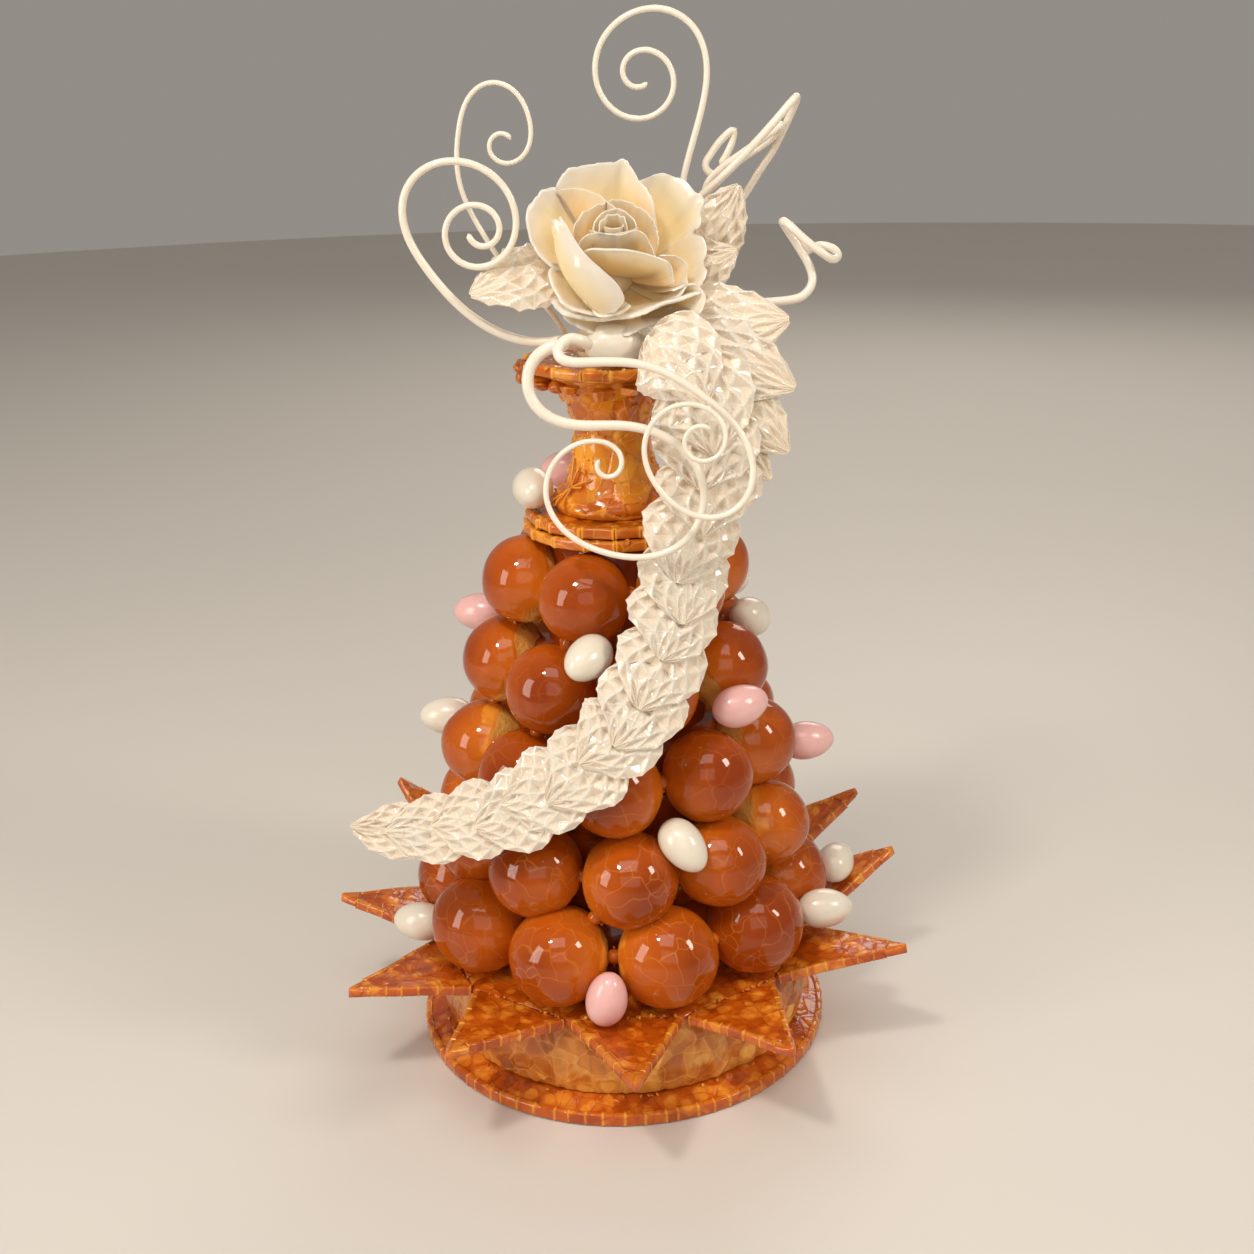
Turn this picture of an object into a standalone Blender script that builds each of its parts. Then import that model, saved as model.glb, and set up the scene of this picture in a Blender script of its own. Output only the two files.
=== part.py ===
# A croquembouche: rings of caramel-dipped cream puffs on a nougatine stand with an
# eleven-pointed star, crowned by a nougatine pedestal, a sugar rose, a garland of
# sugar leaves, sugar scrolls and sugared almonds.
# Metres, +Z up, front towards -Y, origin at the middle of the underside.

import math

import bmesh
import bpy
import numpy as np
from mathutils import Matrix, Vector

mm = 0.001
GAP = 0.3 * mm                     # clearance between pieces that touch
LEAN = 0.008                       # the hand-built tower leans this much to the right

# Nougatine stand
BASE_RADIUS = 100 * mm
BASE_HEIGHT = 8.6 * mm
BASE_BEADS = 20                    # bead joints round the rolled rim
DRUM_RADIUS = 90.7 * mm
DISH_TOP = 50 * mm
DISH_THICKNESS = 4.4 * mm
DISH_APOTHEM = 88 * mm             # middle of the dish to the middle of each edge
STAR_POINTS = 11
STAR_TURN = 1                      # degrees
STAR_REACH = 142 * mm              # middle of the stand to the tips
STAR_THICKNESS = 4.6 * mm
# Height of each tip and its swing to the side in degrees, from the front towards +X:
# the points are set by hand, and curl up at the back
STAR_TIPS = (
    (55, 1), (55.5, -3), (60.5, 3), (70.5, 2), (85, -14), (88, 0), (90, 0), (92, 6), (59.5, 2), (54, 2),
    (58, 0),
)
STAR_TIP_WIDTH = 4 * mm
STAR_EDGE_BEVEL = 1.3 * mm

# Rings of puffs, bottom to top: count, ring radius, height, puff radius, first azimuth
TIERS = (
    (10, 79.0 * mm, 73.7 * mm, 23.1 * mm, 15),
    (10, 70.8 * mm, 109.5 * mm, 21.6 * mm, 3),
    (9, 63.5 * mm, 150.2 * mm, 21.1 * mm, -2),
    (7, 52.2 * mm, 190.6 * mm, 20.7 * mm, 17),
    (6, 42.2 * mm, 230.9 * mm, 20.3 * mm, -19),
)
PUFF_UNEVENNESS = 0.03
PUFF_NECK = 0.42                   # caramel neck between two puffs, share of their radius
PUFF_COLUMNS = 5                   # columns of points across a puff, the first one in the neck
PUFF_LEVELS = (-100, -48, 0, 48, 100)

# Pedestal
FOOT_BOTTOM = 252.0 * mm
FOOT_RADIUS = 41.6 * mm
FOOT_THICKNESS = 4.9 * mm
FOOT_TOP = FOOT_BOTTOM + 2 * FOOT_THICKNESS + GAP
COLUMN_TOP = 323.4 * mm
CROWN_TOP = 330.0 * mm
CROWN_RADIUS = 41.6 * mm
CROWN_SIDES = 9

# Rose
ROSE_CENTRE = Vector((3.5, -22, 377)) * mm
ROSE_FACING = Vector((0.03, -0.77, 0.64)).normalized()
ROSE_RADIUS = 38.5 * mm
ROSE_COLUMNS = 20

# Sugared almonds
ALMOND_LENGTH = 26.5 * mm
ALMOND_WIDTH = 18.4 * mm
ALMOND_LEVELS = (-55, -15, 25, 62)
ALMOND_SIDES = 8

# Sugar rods and scrolls
PATH_STEPS = 12                    # points of a smooth path between two of its guides
ROD_STEP = 13 * mm                 # longest facet of a rod
ROD_TURN = 32                      # degrees that a rod turns between two facets

# Leaves
LEAF_THICKNESS = 1.8 * mm
GARLAND_LEAVES = 8
GARLAND_OVERLAP = 1.42             # length of a leaf over its spacing
GARLAND_LIFT = 6.5 * mm            # each leaf tip stands this far above the next leaf's stem

COLOURS = {
    "nougatine": ((0.40, 0.11, 0.015), 0.2),
    "pale_nougatine": ((0.55, 0.25, 0.08), 0.3),
    "caramel_puff": ((0.45, 0.13, 0.02), 0.15),
    "amber_nougatine": ((0.48, 0.16, 0.02), 0.2),
    "pearl_sugar": ((0.86, 0.80, 0.68), 0.35),
    "white_almond": ((0.90, 0.87, 0.80), 0.3),
    "pink_almond": ((0.86, 0.52, 0.48), 0.3),
}


def clear_scene():
    for obj in list(bpy.data.objects):
        bpy.data.objects.remove(obj, do_unlink=True)


def make_materials():
    materials = {}
    for name, (colour, roughness) in COLOURS.items():
        material = bpy.data.materials.new(name)
        material.use_nodes = True
        shader = material.node_tree.nodes["Principled BSDF"]
        shader.inputs["Base Color"].default_value = (*colour, 1)
        shader.inputs["Roughness"].default_value = roughness
        shader.inputs["Metallic"].default_value = 0
        materials[name] = material
    return materials


def add_object(name, data, material):
    data.materials.append(material)
    obj = bpy.data.objects.new(name, data)
    bpy.context.scene.collection.objects.link(obj)
    return obj


def add_mesh(name, points, faces, material):
    mesh = bpy.data.meshes.new(name)
    mesh.from_pydata([tuple(p) for p in points], [], faces)
    solid = bmesh.new()
    solid.from_mesh(mesh)
    bmesh.ops.recalc_face_normals(solid, faces=solid.faces[:])
    solid.to_mesh(mesh)
    solid.free()
    mesh.shade_smooth()
    mesh.set_sharp_from_angle(angle=math.radians(35))
    return add_object(name, mesh, material)


def around(azimuth, radius, height):
    """A place by its azimuth, in degrees from the front towards +X."""
    angle = math.radians(azimuth)
    return Vector((radius * math.sin(angle), -radius * math.cos(angle), height))


def ring_faces(rings, count):
    """Quads between closed rings of `count` points, then a fan to a pole at either end."""
    faces = []
    for row in range(rings - 1):
        for i in range(count):
            j = (i + 1) % count
            faces.append((row * count + i, row * count + j, (row + 1) * count + j, (row + 1) * count + i))
    first_pole = rings * count
    for i in range(count):
        j = (i + 1) % count
        faces.append((first_pole, j, i))
        faces.append((first_pole + 1, (rings - 1) * count + i, (rings - 1) * count + j))
    return faces


def add_turned(name, profile, count, material, middle=(0, 0), ripple=None, turn=0):
    """A turned solid. The profile runs from underside to top, and ends on the axis at both ends."""
    rows = profile[1:-1]
    points = []
    for row, (radius, height) in enumerate(rows):
        for i in range(count):
            place = around(turn + 360 * i / count, radius + (ripple(i, row) if ripple else 0), height)
            points.append(place + Vector((*middle, 0)))
    points.append(Vector((*middle, profile[0][1])))
    points.append(Vector((*middle, profile[-1][1])))
    return add_mesh(name, points, ring_faces(len(rows), count), material)


# ---- stand ----

def add_base_disc(material):
    r, h = BASE_RADIUS, BASE_HEIGHT
    profile = [(0, 0), (r - 4 * mm, 0), (r - 0.4 * mm, 0.3 * h), (r - 0.4 * mm, 0.7 * h), (r - 4 * mm, h),
               (r - 8 * mm, h - 0.9 * mm), (0, h - 0.9 * mm)]

    def bead_joint(i, row):
        return -1.0 * mm if i % 2 == 0 and 0 < row < 3 else 0

    add_turned("base_disc", profile, 2 * BASE_BEADS, material, ripple=bead_joint)


def add_drum(material):
    bottom = BASE_HEIGHT + GAP
    top = DISH_TOP - DISH_THICKNESS - GAP
    r = DRUM_RADIUS
    profile = [(0, bottom), (r - 3 * mm, bottom), (r, bottom + 5 * mm), (r + 0.8 * mm, bottom + 15 * mm),
               (r - 1.5 * mm, top - 7 * mm), (r - 6 * mm, top), (0, top)]
    add_turned("drum", profile, 32, material)


def add_star(material):
    sector = 360 / STAR_POINTS
    corner = DISH_APOTHEM / math.cos(math.radians(sector / 2))
    bottom = DISH_TOP - DISH_THICKNESS
    profile = [(0, bottom), (corner, bottom), (corner, DISH_TOP), (0, DISH_TOP)]
    add_turned("star_dish", profile, STAR_POINTS, material, turn=STAR_TURN + sector / 2)
    half_width = corner * math.sin(math.radians(sector / 2)) - 2 * GAP
    for k, (tip_height, swing) in enumerate(STAR_TIPS):
        swing = math.radians(swing)
        run = STAR_REACH * math.cos(swing) - DISH_APOTHEM
        rise = tip_height * mm - DISH_TOP
        add_star_point(f"star_point_{k + 1:02d}", STAR_TURN + sector * k, math.atan2(rise, run), half_width,
                       (STAR_REACH * math.sin(swing), math.hypot(run, rise)), material)


def add_star_point(name, azimuth, tilt, half_width, tip, material):
    """A triangular plate that meets the dish's edge, with its sharp edges softened."""
    mesh = bpy.data.meshes.new(name)
    solid = bmesh.new()
    blunt = STAR_TIP_WIDTH / 2
    outline = ((-half_width, 0), (half_width, 0), (tip[0] + blunt, tip[1]), (tip[0] - blunt, tip[1]))
    face = solid.faces.new([solid.verts.new((x, -y, 0)) for x, y in outline])
    made = bmesh.ops.extrude_face_region(solid, geom=[face])
    lowered = [item for item in made["geom"] if isinstance(item, bmesh.types.BMVert)]
    bmesh.ops.translate(solid, verts=lowered, vec=(0, 0, -STAR_THICKNESS))
    bmesh.ops.recalc_face_normals(solid, faces=solid.faces[:])
    sides = []
    for edge in solid.edges:
        start, end = (vert.co for vert in edge.verts)
        if abs(start.z - end.z) < mm and min(start.y, end.y) < -mm:
            sides.append(edge)
    bmesh.ops.bevel(solid, geom=sides, offset=STAR_EDGE_BEVEL, segments=1, affect="EDGES")
    turn = Matrix.Rotation(math.radians(azimuth), 4, "Z")
    raise_tip = Matrix.Rotation(-tilt, 4, "X")
    to_edge = Matrix.Translation((0, -DISH_APOTHEM - GAP, DISH_TOP))
    bmesh.ops.transform(solid, matrix=turn @ to_edge @ raise_tip, verts=solid.verts)
    solid.to_mesh(mesh)
    solid.free()
    add_object(name, mesh, material)


# ---- puffs ----

def puffs_of(tier):
    """(centre, radius) of each puff in a ring, a little uneven in size."""
    count, ring, height, radius, first = TIERS[tier]
    found = []
    for i in range(count):
        size = radius * (1 + PUFF_UNEVENNESS * (math.sin(2.4 * i + tier) - 1) / 2)
        middle = around(first + 360 * i / count, ring, height) + Vector((LEAN * height, 0, 0))
        found.append((middle, size))
    return found


ALL_PUFFS = [puff for tier in range(len(TIERS)) for puff in puffs_of(tier)]


def middle_top(tier):
    """Height of the solid middle of a tier: the next tier, or the pedestal, stands on it."""
    _, _, height, radius, _ = TIERS[tier]
    return FOOT_BOTTOM - GAP if tier == len(TIERS) - 1 else height + 0.6 * radius


def tier_points(tier, grow=0):
    """A ring of puffs pressed together round a solid middle, as rings of points from bottom to top."""
    count, ring, height, radius, first = TIERS[tier]
    columns = PUFF_COLUMNS * count
    inner = ring - 0.6 * radius
    low = height - radius if tier == 0 else middle_top(tier - 1) + 1.5 * GAP
    high = middle_top(tier)
    puffs = puffs_of(tier)
    points = []
    for row in range(len(PUFF_LEVELS) + 2):
        for column in range(columns):
            puff, step = divmod(column, PUFF_COLUMNS)
            size = puffs[puff][1] + grow
            away = step / PUFF_COLUMNS - 0.5
            offset = math.radians(away * 360 / count)
            half = math.sqrt(max(size ** 2 - (ring * math.sin(offset)) ** 2, (PUFF_NECK * size) ** 2))
            if step == 0:
                half = PUFF_NECK * radius + grow
            azimuth = first + (puff + away) * 360 / count
            if row == 0:
                place = around(azimuth, inner, low - grow)
            elif row == len(PUFF_LEVELS) + 1:
                place = around(azimuth, inner, high + grow)
            else:
                lift = math.radians(PUFF_LEVELS[row - 1])
                place = around(azimuth, ring * math.cos(offset) + half * math.cos(lift),
                               height + half * math.sin(lift))
            points.append(place + Vector((LEAN * height, 0, 0)))
    points.append(Vector((LEAN * height, 0, low - grow)))
    points.append(Vector((LEAN * height, 0, high + grow)))
    return points, ring_faces(len(PUFF_LEVELS) + 2, columns)


def add_tiers(material):
    for tier in range(len(TIERS)):
        points, faces = tier_points(tier)
        obj = add_mesh(f"puff_tier_{tier + 1}", points, faces, material)
        if tier == 0:
            continue
        points, faces = tier_points(tier - 1, grow=GAP)
        below = add_mesh(f"press_{tier}", points, faces, material)
        below.hide_render = True
        below.display_type = "WIRE"
        press = obj.modifiers.new("press", "BOOLEAN")
        press.operation = "DIFFERENCE"
        press.solver = "EXACT"
        press.object = below


# ---- pedestal ----

def add_pedestal(material):
    middle = (LEAN * FOOT_BOTTOM, 0)
    upper_bottom = FOOT_BOTTOM + FOOT_THICKNESS + GAP
    for name, radius, bottom in (("pedestal_foot_lower", FOOT_RADIUS, FOOT_BOTTOM),
                                 ("pedestal_foot_upper", FOOT_RADIUS - 2.2 * mm, upper_bottom)):
        top = bottom + FOOT_THICKNESS
        rim = radius - 2 * mm
        profile = [(0, bottom), (rim, bottom), (radius, (bottom + top) / 2), (rim, top), (0, top)]
        add_turned(name, profile, 24, material, middle,
                   ripple=lambda i, row: -0.7 * mm if i % 4 == 0 else 0)
    base = FOOT_TOP + GAP
    column = [(0, base), (26 * mm, base), (28 * mm, base + 3 * mm), (26.5 * mm, base + 7 * mm),
              (22 * mm, base + 11 * mm), (18.5 * mm, base + 22 * mm), (16.6 * mm, base + 36 * mm),
              (18.5 * mm, base + 46 * mm), (26 * mm, COLUMN_TOP - 4 * mm), (29 * mm, COLUMN_TOP),
              (0, COLUMN_TOP)]

    def lumps(i, row):
        return 0.8 * mm * math.sin(2.1 * i + 1.7 * row) if 1 < row < 8 else 0

    add_turned("pedestal_column", column, 20, material, middle, ripple=lumps)
    bottom = COLUMN_TOP + GAP
    half = (bottom + CROWN_TOP) / 2
    crown = [(0, bottom), (CROWN_RADIUS - 2 * mm, bottom), (CROWN_RADIUS, half),
             (CROWN_RADIUS - 1.5 * mm, CROWN_TOP), (0, CROWN_TOP)]

    def broken_edge(i, row):
        return -2.5 * mm * (0.5 + 0.5 * math.sin(4.1 * i))

    add_turned("pedestal_crown", crown, 2 * CROWN_SIDES, material, middle, ripple=broken_edge)


# ---- almonds ----

def almond_shape(azimuth, lean, spin):
    """Points of an almond about its middle. Its long axis leans away from the outward direction."""
    out = around(azimuth, 1, 0)
    side = Vector((0, 0, 1)).cross(out)
    sideways = math.cos(math.radians(spin)) * side + math.sin(math.radians(spin)) * Vector((0, 0, 1))
    axis = (math.cos(math.radians(lean)) * out + math.sin(math.radians(lean)) * sideways).normalized()
    turn = axis.to_track_quat("Z", "Y").to_matrix()
    points = []
    for level in ALMOND_LEVELS:
        for i in range(ALMOND_SIDES):
            around_axis = 2 * math.pi * i / ALMOND_SIDES
            height = math.sin(math.radians(level))
            width = math.cos(math.radians(level)) * (1 - 0.1 * height)
            points.append(turn @ Vector((ALMOND_WIDTH / 2 * width * math.cos(around_axis),
                                         ALMOND_WIDTH / 2 * width * math.sin(around_axis),
                                         ALMOND_LENGTH / 2 * height)))
    points.append(turn @ Vector((0, 0, -ALMOND_LENGTH / 2)))
    points.append(turn @ Vector((0, 0, ALMOND_LENGTH / 2)))
    return points


def resting_radius(azimuth, height, shape):
    """Slides an almond in from outside until it touches a puff."""
    radius = STAR_REACH
    step = 0.5 * mm
    while radius > FOOT_RADIUS:
        middle = around(azimuth, radius - step, height)
        for puff, size in ALL_PUFFS:
            if any((middle + point - puff).length < size + 1.5 * GAP for point in shape):
                return radius
        radius -= step
    return radius


# colour, azimuth, height, lean and spin of the long axis, and the radius where no puff stops it
ALMONDS = (
    ("pink", -119, 200, 12, 0, None),
    ("white", -83, 272, 90, 0, 34.5),
    ("pink", -146, 272, 60, 0, 35),
    ("white", -101, 154, 10, 20, None),
    ("white", -9, 214, 24, 200, None),
    ("white", 129, 211, 85, 330, None),
    ("white", 94, 205, 60, 330, None),
    ("pink", 50, 182, 65, 8, None),
    ("pink", 92, 142, 10, 0, None),
    ("white", 21, 128, 50, -60, None),
    ("white", 72, 70, 25, 0, None),
    ("white", 98, 69, 60, 0, None),
    ("pink", -4, 64.8, 85, 80, None),
    ("white", -80, 60, 25, 180, None),
    ("white", 8, 340, 90, 0, 32),
)


def add_almonds(materials):
    for number, (colour, azimuth, height, lean, spin, radius) in enumerate(ALMONDS, 1):
        shape = almond_shape(azimuth, lean, spin)
        if radius is None:
            place = around(azimuth, resting_radius(azimuth, height * mm, shape), height * mm)
        else:
            place = around(azimuth, radius * mm, height * mm)
        points = [place + point for point in shape]
        faces = ring_faces(len(ALMOND_LEVELS), ALMOND_SIDES)
        add_mesh(f"almond_{number:02d}", points, faces, materials[f"{colour}_almond"])


# ---- sugar scrolls ----

def scroll_path(start, heading, length, bends, across=(1, 0, 0), up=(0, 0, 1), rise=0):
    """A rod bent in the plane of `across` and `up`. The bends, in degrees per centimetre, are
    spread evenly along it, and `rise` lifts its end out of that plane."""
    steps = 300
    step = length * mm / steps
    across = Vector(across).normalized()
    up = (Vector(up) - Vector(up).project(across)).normalized()
    out = across.cross(up)
    place = Vector(start) * mm
    angle = math.radians(heading)
    points = [place.copy()]
    turns = [angle]
    for i in range(steps):
        bend = np.interp((i + 0.5) / steps, np.linspace(0, 1, len(bends)), bends)
        angle += math.radians(bend / (10 * mm)) * step
        place += step * (math.cos(angle) * across + math.sin(angle) * up) + out * (rise * mm / steps)
        points.append(place.copy())
        turns.append(angle)
    return points, turns


def add_rod(name, points, turns, root_radius, tip_radius, material):
    """A tapered rod, with a point wherever the path has turned or run on far enough."""
    kept = [0]
    for i in range(1, len(points)):
        far = (points[i] - points[kept[-1]]).length > ROD_STEP
        turned = abs(turns[i] - turns[kept[-1]]) > math.radians(ROD_TURN)
        if far or turned or i == len(points) - 1:
            kept.append(i)
    curve = bpy.data.curves.new(name, "CURVE")
    curve.dimensions = "3D"
    curve.bevel_depth = mm
    curve.bevel_resolution = 1
    curve.use_fill_caps = True
    spline = curve.splines.new("POLY")
    spline.points.add(len(kept) - 1)
    for point, i in zip(spline.points, kept):
        share = i / (len(points) - 1)
        point.co = (*points[i], 1)
        point.radius = tip_radius + (root_radius - tip_radius) * (1 - share) ** 2
    add_object(name, curve, material)


def smooth_path(guides):
    """A smooth curve through guide points, and how far it has turned at each of its points."""
    ends = [2 * guides[0] - guides[1], *guides, 2 * guides[-1] - guides[-2]]
    points = []
    for a, b, c, d in zip(ends, ends[1:], ends[2:], ends[3:]):
        for step in range(PATH_STEPS):
            t = step / PATH_STEPS
            points.append(0.5 * (2 * b + (c - a) * t + (2 * a - 5 * b + 4 * c - d) * t ** 2
                                 + (3 * b - a - 3 * c + d) * t ** 3))
    points.append(guides[-1])
    turns = [0]
    for a, b, c in zip(points, points[1:], points[2:]):
        turns.append(turns[-1] + (b - a).angle(c - b, 0))
    turns.append(turns[-1])
    return points, turns


# The hidden root on the crown, then start, heading in degrees, length, bends along the rod, plane,
# rise, and the radius at the root and the tip
SCROLLS = {
    "scroll_top": dict(
        root=((29, 12, 333), (31, 14, 360)), start=(35.4, 14, 402.8), heading=78, length=221.6,
        bends=(-6, 5, 28, 22, 27, 38, 46, 106), rise=-3, radii=(1.6, 1.35)),
    "scroll_left_tall": dict(
        root=((-15, 2, 333), (-21, -4, 347)), start=(-35.3, -8, 364.3), heading=145, length=162.7,
        bends=(-22, 0, -15, -6, -54, -20, -70, -134), rise=3, radii=(1.3, 1.1)),
    "scroll_left_round": dict(
        root=((2, -20, 334.5), (-8, -21, 338.5)), start=(-20, -22, 340.7), heading=-169, length=262.6,
        bends=(-17, -10, -4, -31, -21, -27, -45, -48, -104), rise=3, radii=(2.3, 1.3)),
    "scroll_front_right": dict(
        root=((-12, -36, 333.5), (-17, -46, 335)), start=(-11.3, -59.4, 338), heading=-1, length=252.7,
        bends=(4, -14, -3, -21, -37, -14, -32, -34, -68, -97), up=(0, 0.2, 1), rise=7, radii=(2.7, 1.0)),
    "scroll_front_left": dict(
        root=((-25, -27, 334), (-21, -40, 341)), start=(-17.5, -52, 343.6), heading=177, length=277.7,
        bends=(43, 35, -10, -21, -25, -9, -28, -29, -146), up=(0, 0.2, 1), rise=-3, radii=(3.4, 1.1)),
}
# The two scrolls that turn out of any one plane, as the places they pass through
LOOP = (
    (24, 4, 333), (30, 5, 362), (36, 7, 384), (41, 8, 394), (51, 6, 403), (62, 2, 414), (73, 1, 425.5),
    (80.5, 3, 433.5), (83, 8, 434.5), (81, 13, 428), (75, 19, 414.5), (68, 22, 403.5), (63, 23, 395.5),
    (57.5, 21, 390), (50, 18, 388.5), (44.5, 15, 393), (46, 13, 401), (52, 12, 407), (60, 11, 412.5),
    (70, 11, 419), (76.5, 12, 423.5), (77, 14, 422.5), (72.5, 17, 417.5), (64, 18, 412), (55, 17.5, 406.5),
    (48, 17.5, 404), (45, 18, 408), (48, 19, 413), (52, 19, 418), (57, 19, 422),
)
HOOK = (
    (28, -4, 333), (36, -10, 346), (50, -12, 352.5), (62, -14, 353), (79, -14, 354), (85.5, -13, 356.5),
    (88.5, -11, 361.5), (87, -9, 368), (82, -7, 376.5), (77, -6, 384), (76, -8, 386), (78.5, -12, 384.5),
    (84.5, -15, 379), (91, -16, 374), (96.5, -14, 370.5), (99.5, -9, 371.5), (97.5, -5, 374), (92, -2, 375),
    (87, 0, 372.5), (84, -3, 374), (85, -7, 376.5), (88, -8.5, 373.5),
)


def add_scrolls(material):
    for name, spec in SCROLLS.items():
        shape = {key: value for key, value in spec.items() if key not in ("root", "radii")}
        points, turns = scroll_path(**shape)
        root = [Vector(p) * mm for p in spec["root"]]
        lead_in, lead_turns = smooth_path([*root, points[0], points[12]])
        kept = PATH_STEPS * len(root)
        points = lead_in[:kept] + points
        turns = [turns[0] + turn - lead_turns[kept] for turn in lead_turns[:kept]] + turns
        add_rod(name, points, turns, *spec["radii"], material)
    for name, places, radii in (("scroll_right_tall", LOOP, (1.75, 1.6)),
                                ("scroll_right_small", HOOK, (1.95, 1.7))):
        points, turns = smooth_path([Vector(p) * mm for p in places])
        add_rod(name, points, turns, *radii, material)


# ---- rose ----

# Share of the rose's radius, height along its facing in mm, petals in the whorl, depth of their edge
ROSE_FOLDS = (
    (0.10, 12, 3, 0.1), (0.20, 13, 3, 0.1), (0.27, 8, 3, 0.1), (0.45, 13, 4, 0.1), (0.52, 5, 4, 0.1),
    (0.74, 10, 5, 0.08), (0.80, 0, 5, 0.08), (1.0, 3, 5, 0.07), (0.97, 0, 5, 0.07), (0.6, -14, 5, 0.05),
)
CALYX = ((CROWN_TOP + GAP, 17 * mm), (CROWN_TOP + 12 * mm, 14 * mm))     # height and radius


def add_rose(material):
    """Three whorls of petals as folds round a bud, on a calyx that stands on the crown."""
    side = Vector((0, 0, 1)).cross(ROSE_FACING).normalized()
    rise = ROSE_FACING.cross(side)
    points = []
    for share, height, petals, depth in reversed(ROSE_FOLDS):
        for i in range(ROSE_COLUMNS):
            angle = 2 * math.pi * i / ROSE_COLUMNS
            wave = math.cos(petals * angle + 1.3 * petals)
            radius = ROSE_RADIUS * share * (1 + depth * wave)
            lift = (height + 2 * wave * share) * mm
            points.append(ROSE_CENTRE + radius * (math.cos(angle) * side + math.sin(angle) * rise)
                          + lift * ROSE_FACING)
    calyx = []
    for height, radius in CALYX:
        for i in range(ROSE_COLUMNS):
            angle = 2 * math.pi * i / ROSE_COLUMNS
            calyx.append(Vector((3 * mm + radius * math.cos(angle), radius * math.sin(angle), height)))
    points = calyx + points
    points.append(Vector((3 * mm, 0, CROWN_TOP + GAP)))
    points.append(ROSE_CENTRE + 10 * mm * ROSE_FACING)
    add_mesh("rose", points, ring_faces(len(ROSE_FOLDS) + len(CALYX), ROSE_COLUMNS), material)


# ---- leaves ----

def leaf_rows(teeth):
    """(share of the length, share of the half width) down a leaf: the edge swells to the tip of
    each tooth, then drops back."""
    rows = [(0.0, 0.10)]
    for tooth in range(teeth):
        for along, swell in ((0.15, 0.90), (0.95, 1.10)):
            share = (tooth + along) / teeth
            if share > 0.97:
                continue
            rows.append((share, swell * math.sin(math.pi * share ** 0.8) ** 0.75))
    rows.append((1.0, 0.06))
    return rows


def add_leaf(name, place, length, width, teeth, material, cup=0, lift=0):
    """A toothed leaf. `place(along, across, above)` puts a point of the flat leaf in space."""
    rows = leaf_rows(teeth)
    points = []
    for under in (0, 1):
        for share, half in rows:
            for edge in (-1, 0, 1):
                above = lift * share + cup * edge ** 2 * half - under * LEAF_THICKNESS
                points.append(place(share * length, edge * half * width / 2, above))
    faces = []
    half_count = 3 * len(rows)
    for row in range(len(rows) - 1):
        for edge in (0, 1):
            a = 3 * row + edge
            faces.append((a, a + 1, a + 4, a + 3))
            faces.append((half_count + a + 3, half_count + a + 4, half_count + a + 1, half_count + a))
        for edge, step in ((0, 3), (2, 3)):
            a = 3 * row + edge
            faces.append((a, a + step, half_count + a + step, half_count + a))
    for a in (0, 3 * (len(rows) - 1)):
        for edge in (0, 1):
            faces.append((a + edge, a + edge + 1, half_count + a + edge + 1, half_count + a + edge))
    add_mesh(name, points, faces, material)


def straight_leaf(stem, tip, facing, arch):
    """Places a leaf between two points, bowed out towards the way it faces."""
    stem, tip, facing = Vector(stem) * mm, Vector(tip) * mm, Vector(facing)
    length = (tip - stem).length
    along = (tip - stem).normalized()
    face = (facing - facing.project(along)).normalized()
    side = face.cross(along)

    def place(distance, across, above):
        bow = arch * mm * math.sin(math.pi * distance / length)
        return stem + distance * along + across * side + (above + bow) * face

    return place, length


# The garland's middle line, from under the rose down the front to the left
GARLAND_ROUTE = (
    (24, -35, 341), (31, -45, 345), (39.5, -50, 316), (41, -51, 289), (35.5, -53, 265), (29.5, -59, 243),
    (24.5, -68, 222), (15, -76, 205), (4.5, -82.5, 187.5), (-12, -85.5, 174), (-30, -84.5, 159),
    (-50, -79, 148), (-69, -76, 141.5), (-88, -71, 137.5), (-104, -68, 137), (-117.5, -67, 140),
)
# Full width of the leaves at even steps along it
GARLAND_WIDTHS = (34, 44, 46, 46, 44, 42, 40, 37, 34, 30, 22)


def garland_place(start):
    """Places a leaf whose stem is at a distance along the garland's middle line."""
    points, _ = smooth_path([Vector(p) * mm for p in GARLAND_ROUTE])
    run = np.concatenate([[0], np.cumsum([(b - a).length for a, b in zip(points, points[1:])])])
    table = np.array(points)

    def middle(distance):
        return Vector([float(np.interp(distance, run, table[:, axis])) for axis in range(3)])

    def place(distance, across, above):
        here = middle(start + distance)
        ahead = min(start + distance + 4 * mm, run[-1])
        along = (middle(ahead) - middle(start + distance - 4 * mm)).normalized()
        outward = Vector((here.x, here.y, 0.23 * math.hypot(here.x, here.y)))
        free = min(max((abs(here.z - 200 * mm) - 50 * mm) / (40 * mm), 0), 1)
        outward = outward.normalized().lerp(Vector((-0.1, -1, 0.2)).normalized(), 0.75 * free)
        face = (outward - outward.project(along)).normalized()
        side = face.cross(along)
        drape = (1 - free) * across ** 2 / (2 * math.hypot(here.x, here.y))
        return here + across * side + (above - drape) * face

    return place, run[-1]


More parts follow.
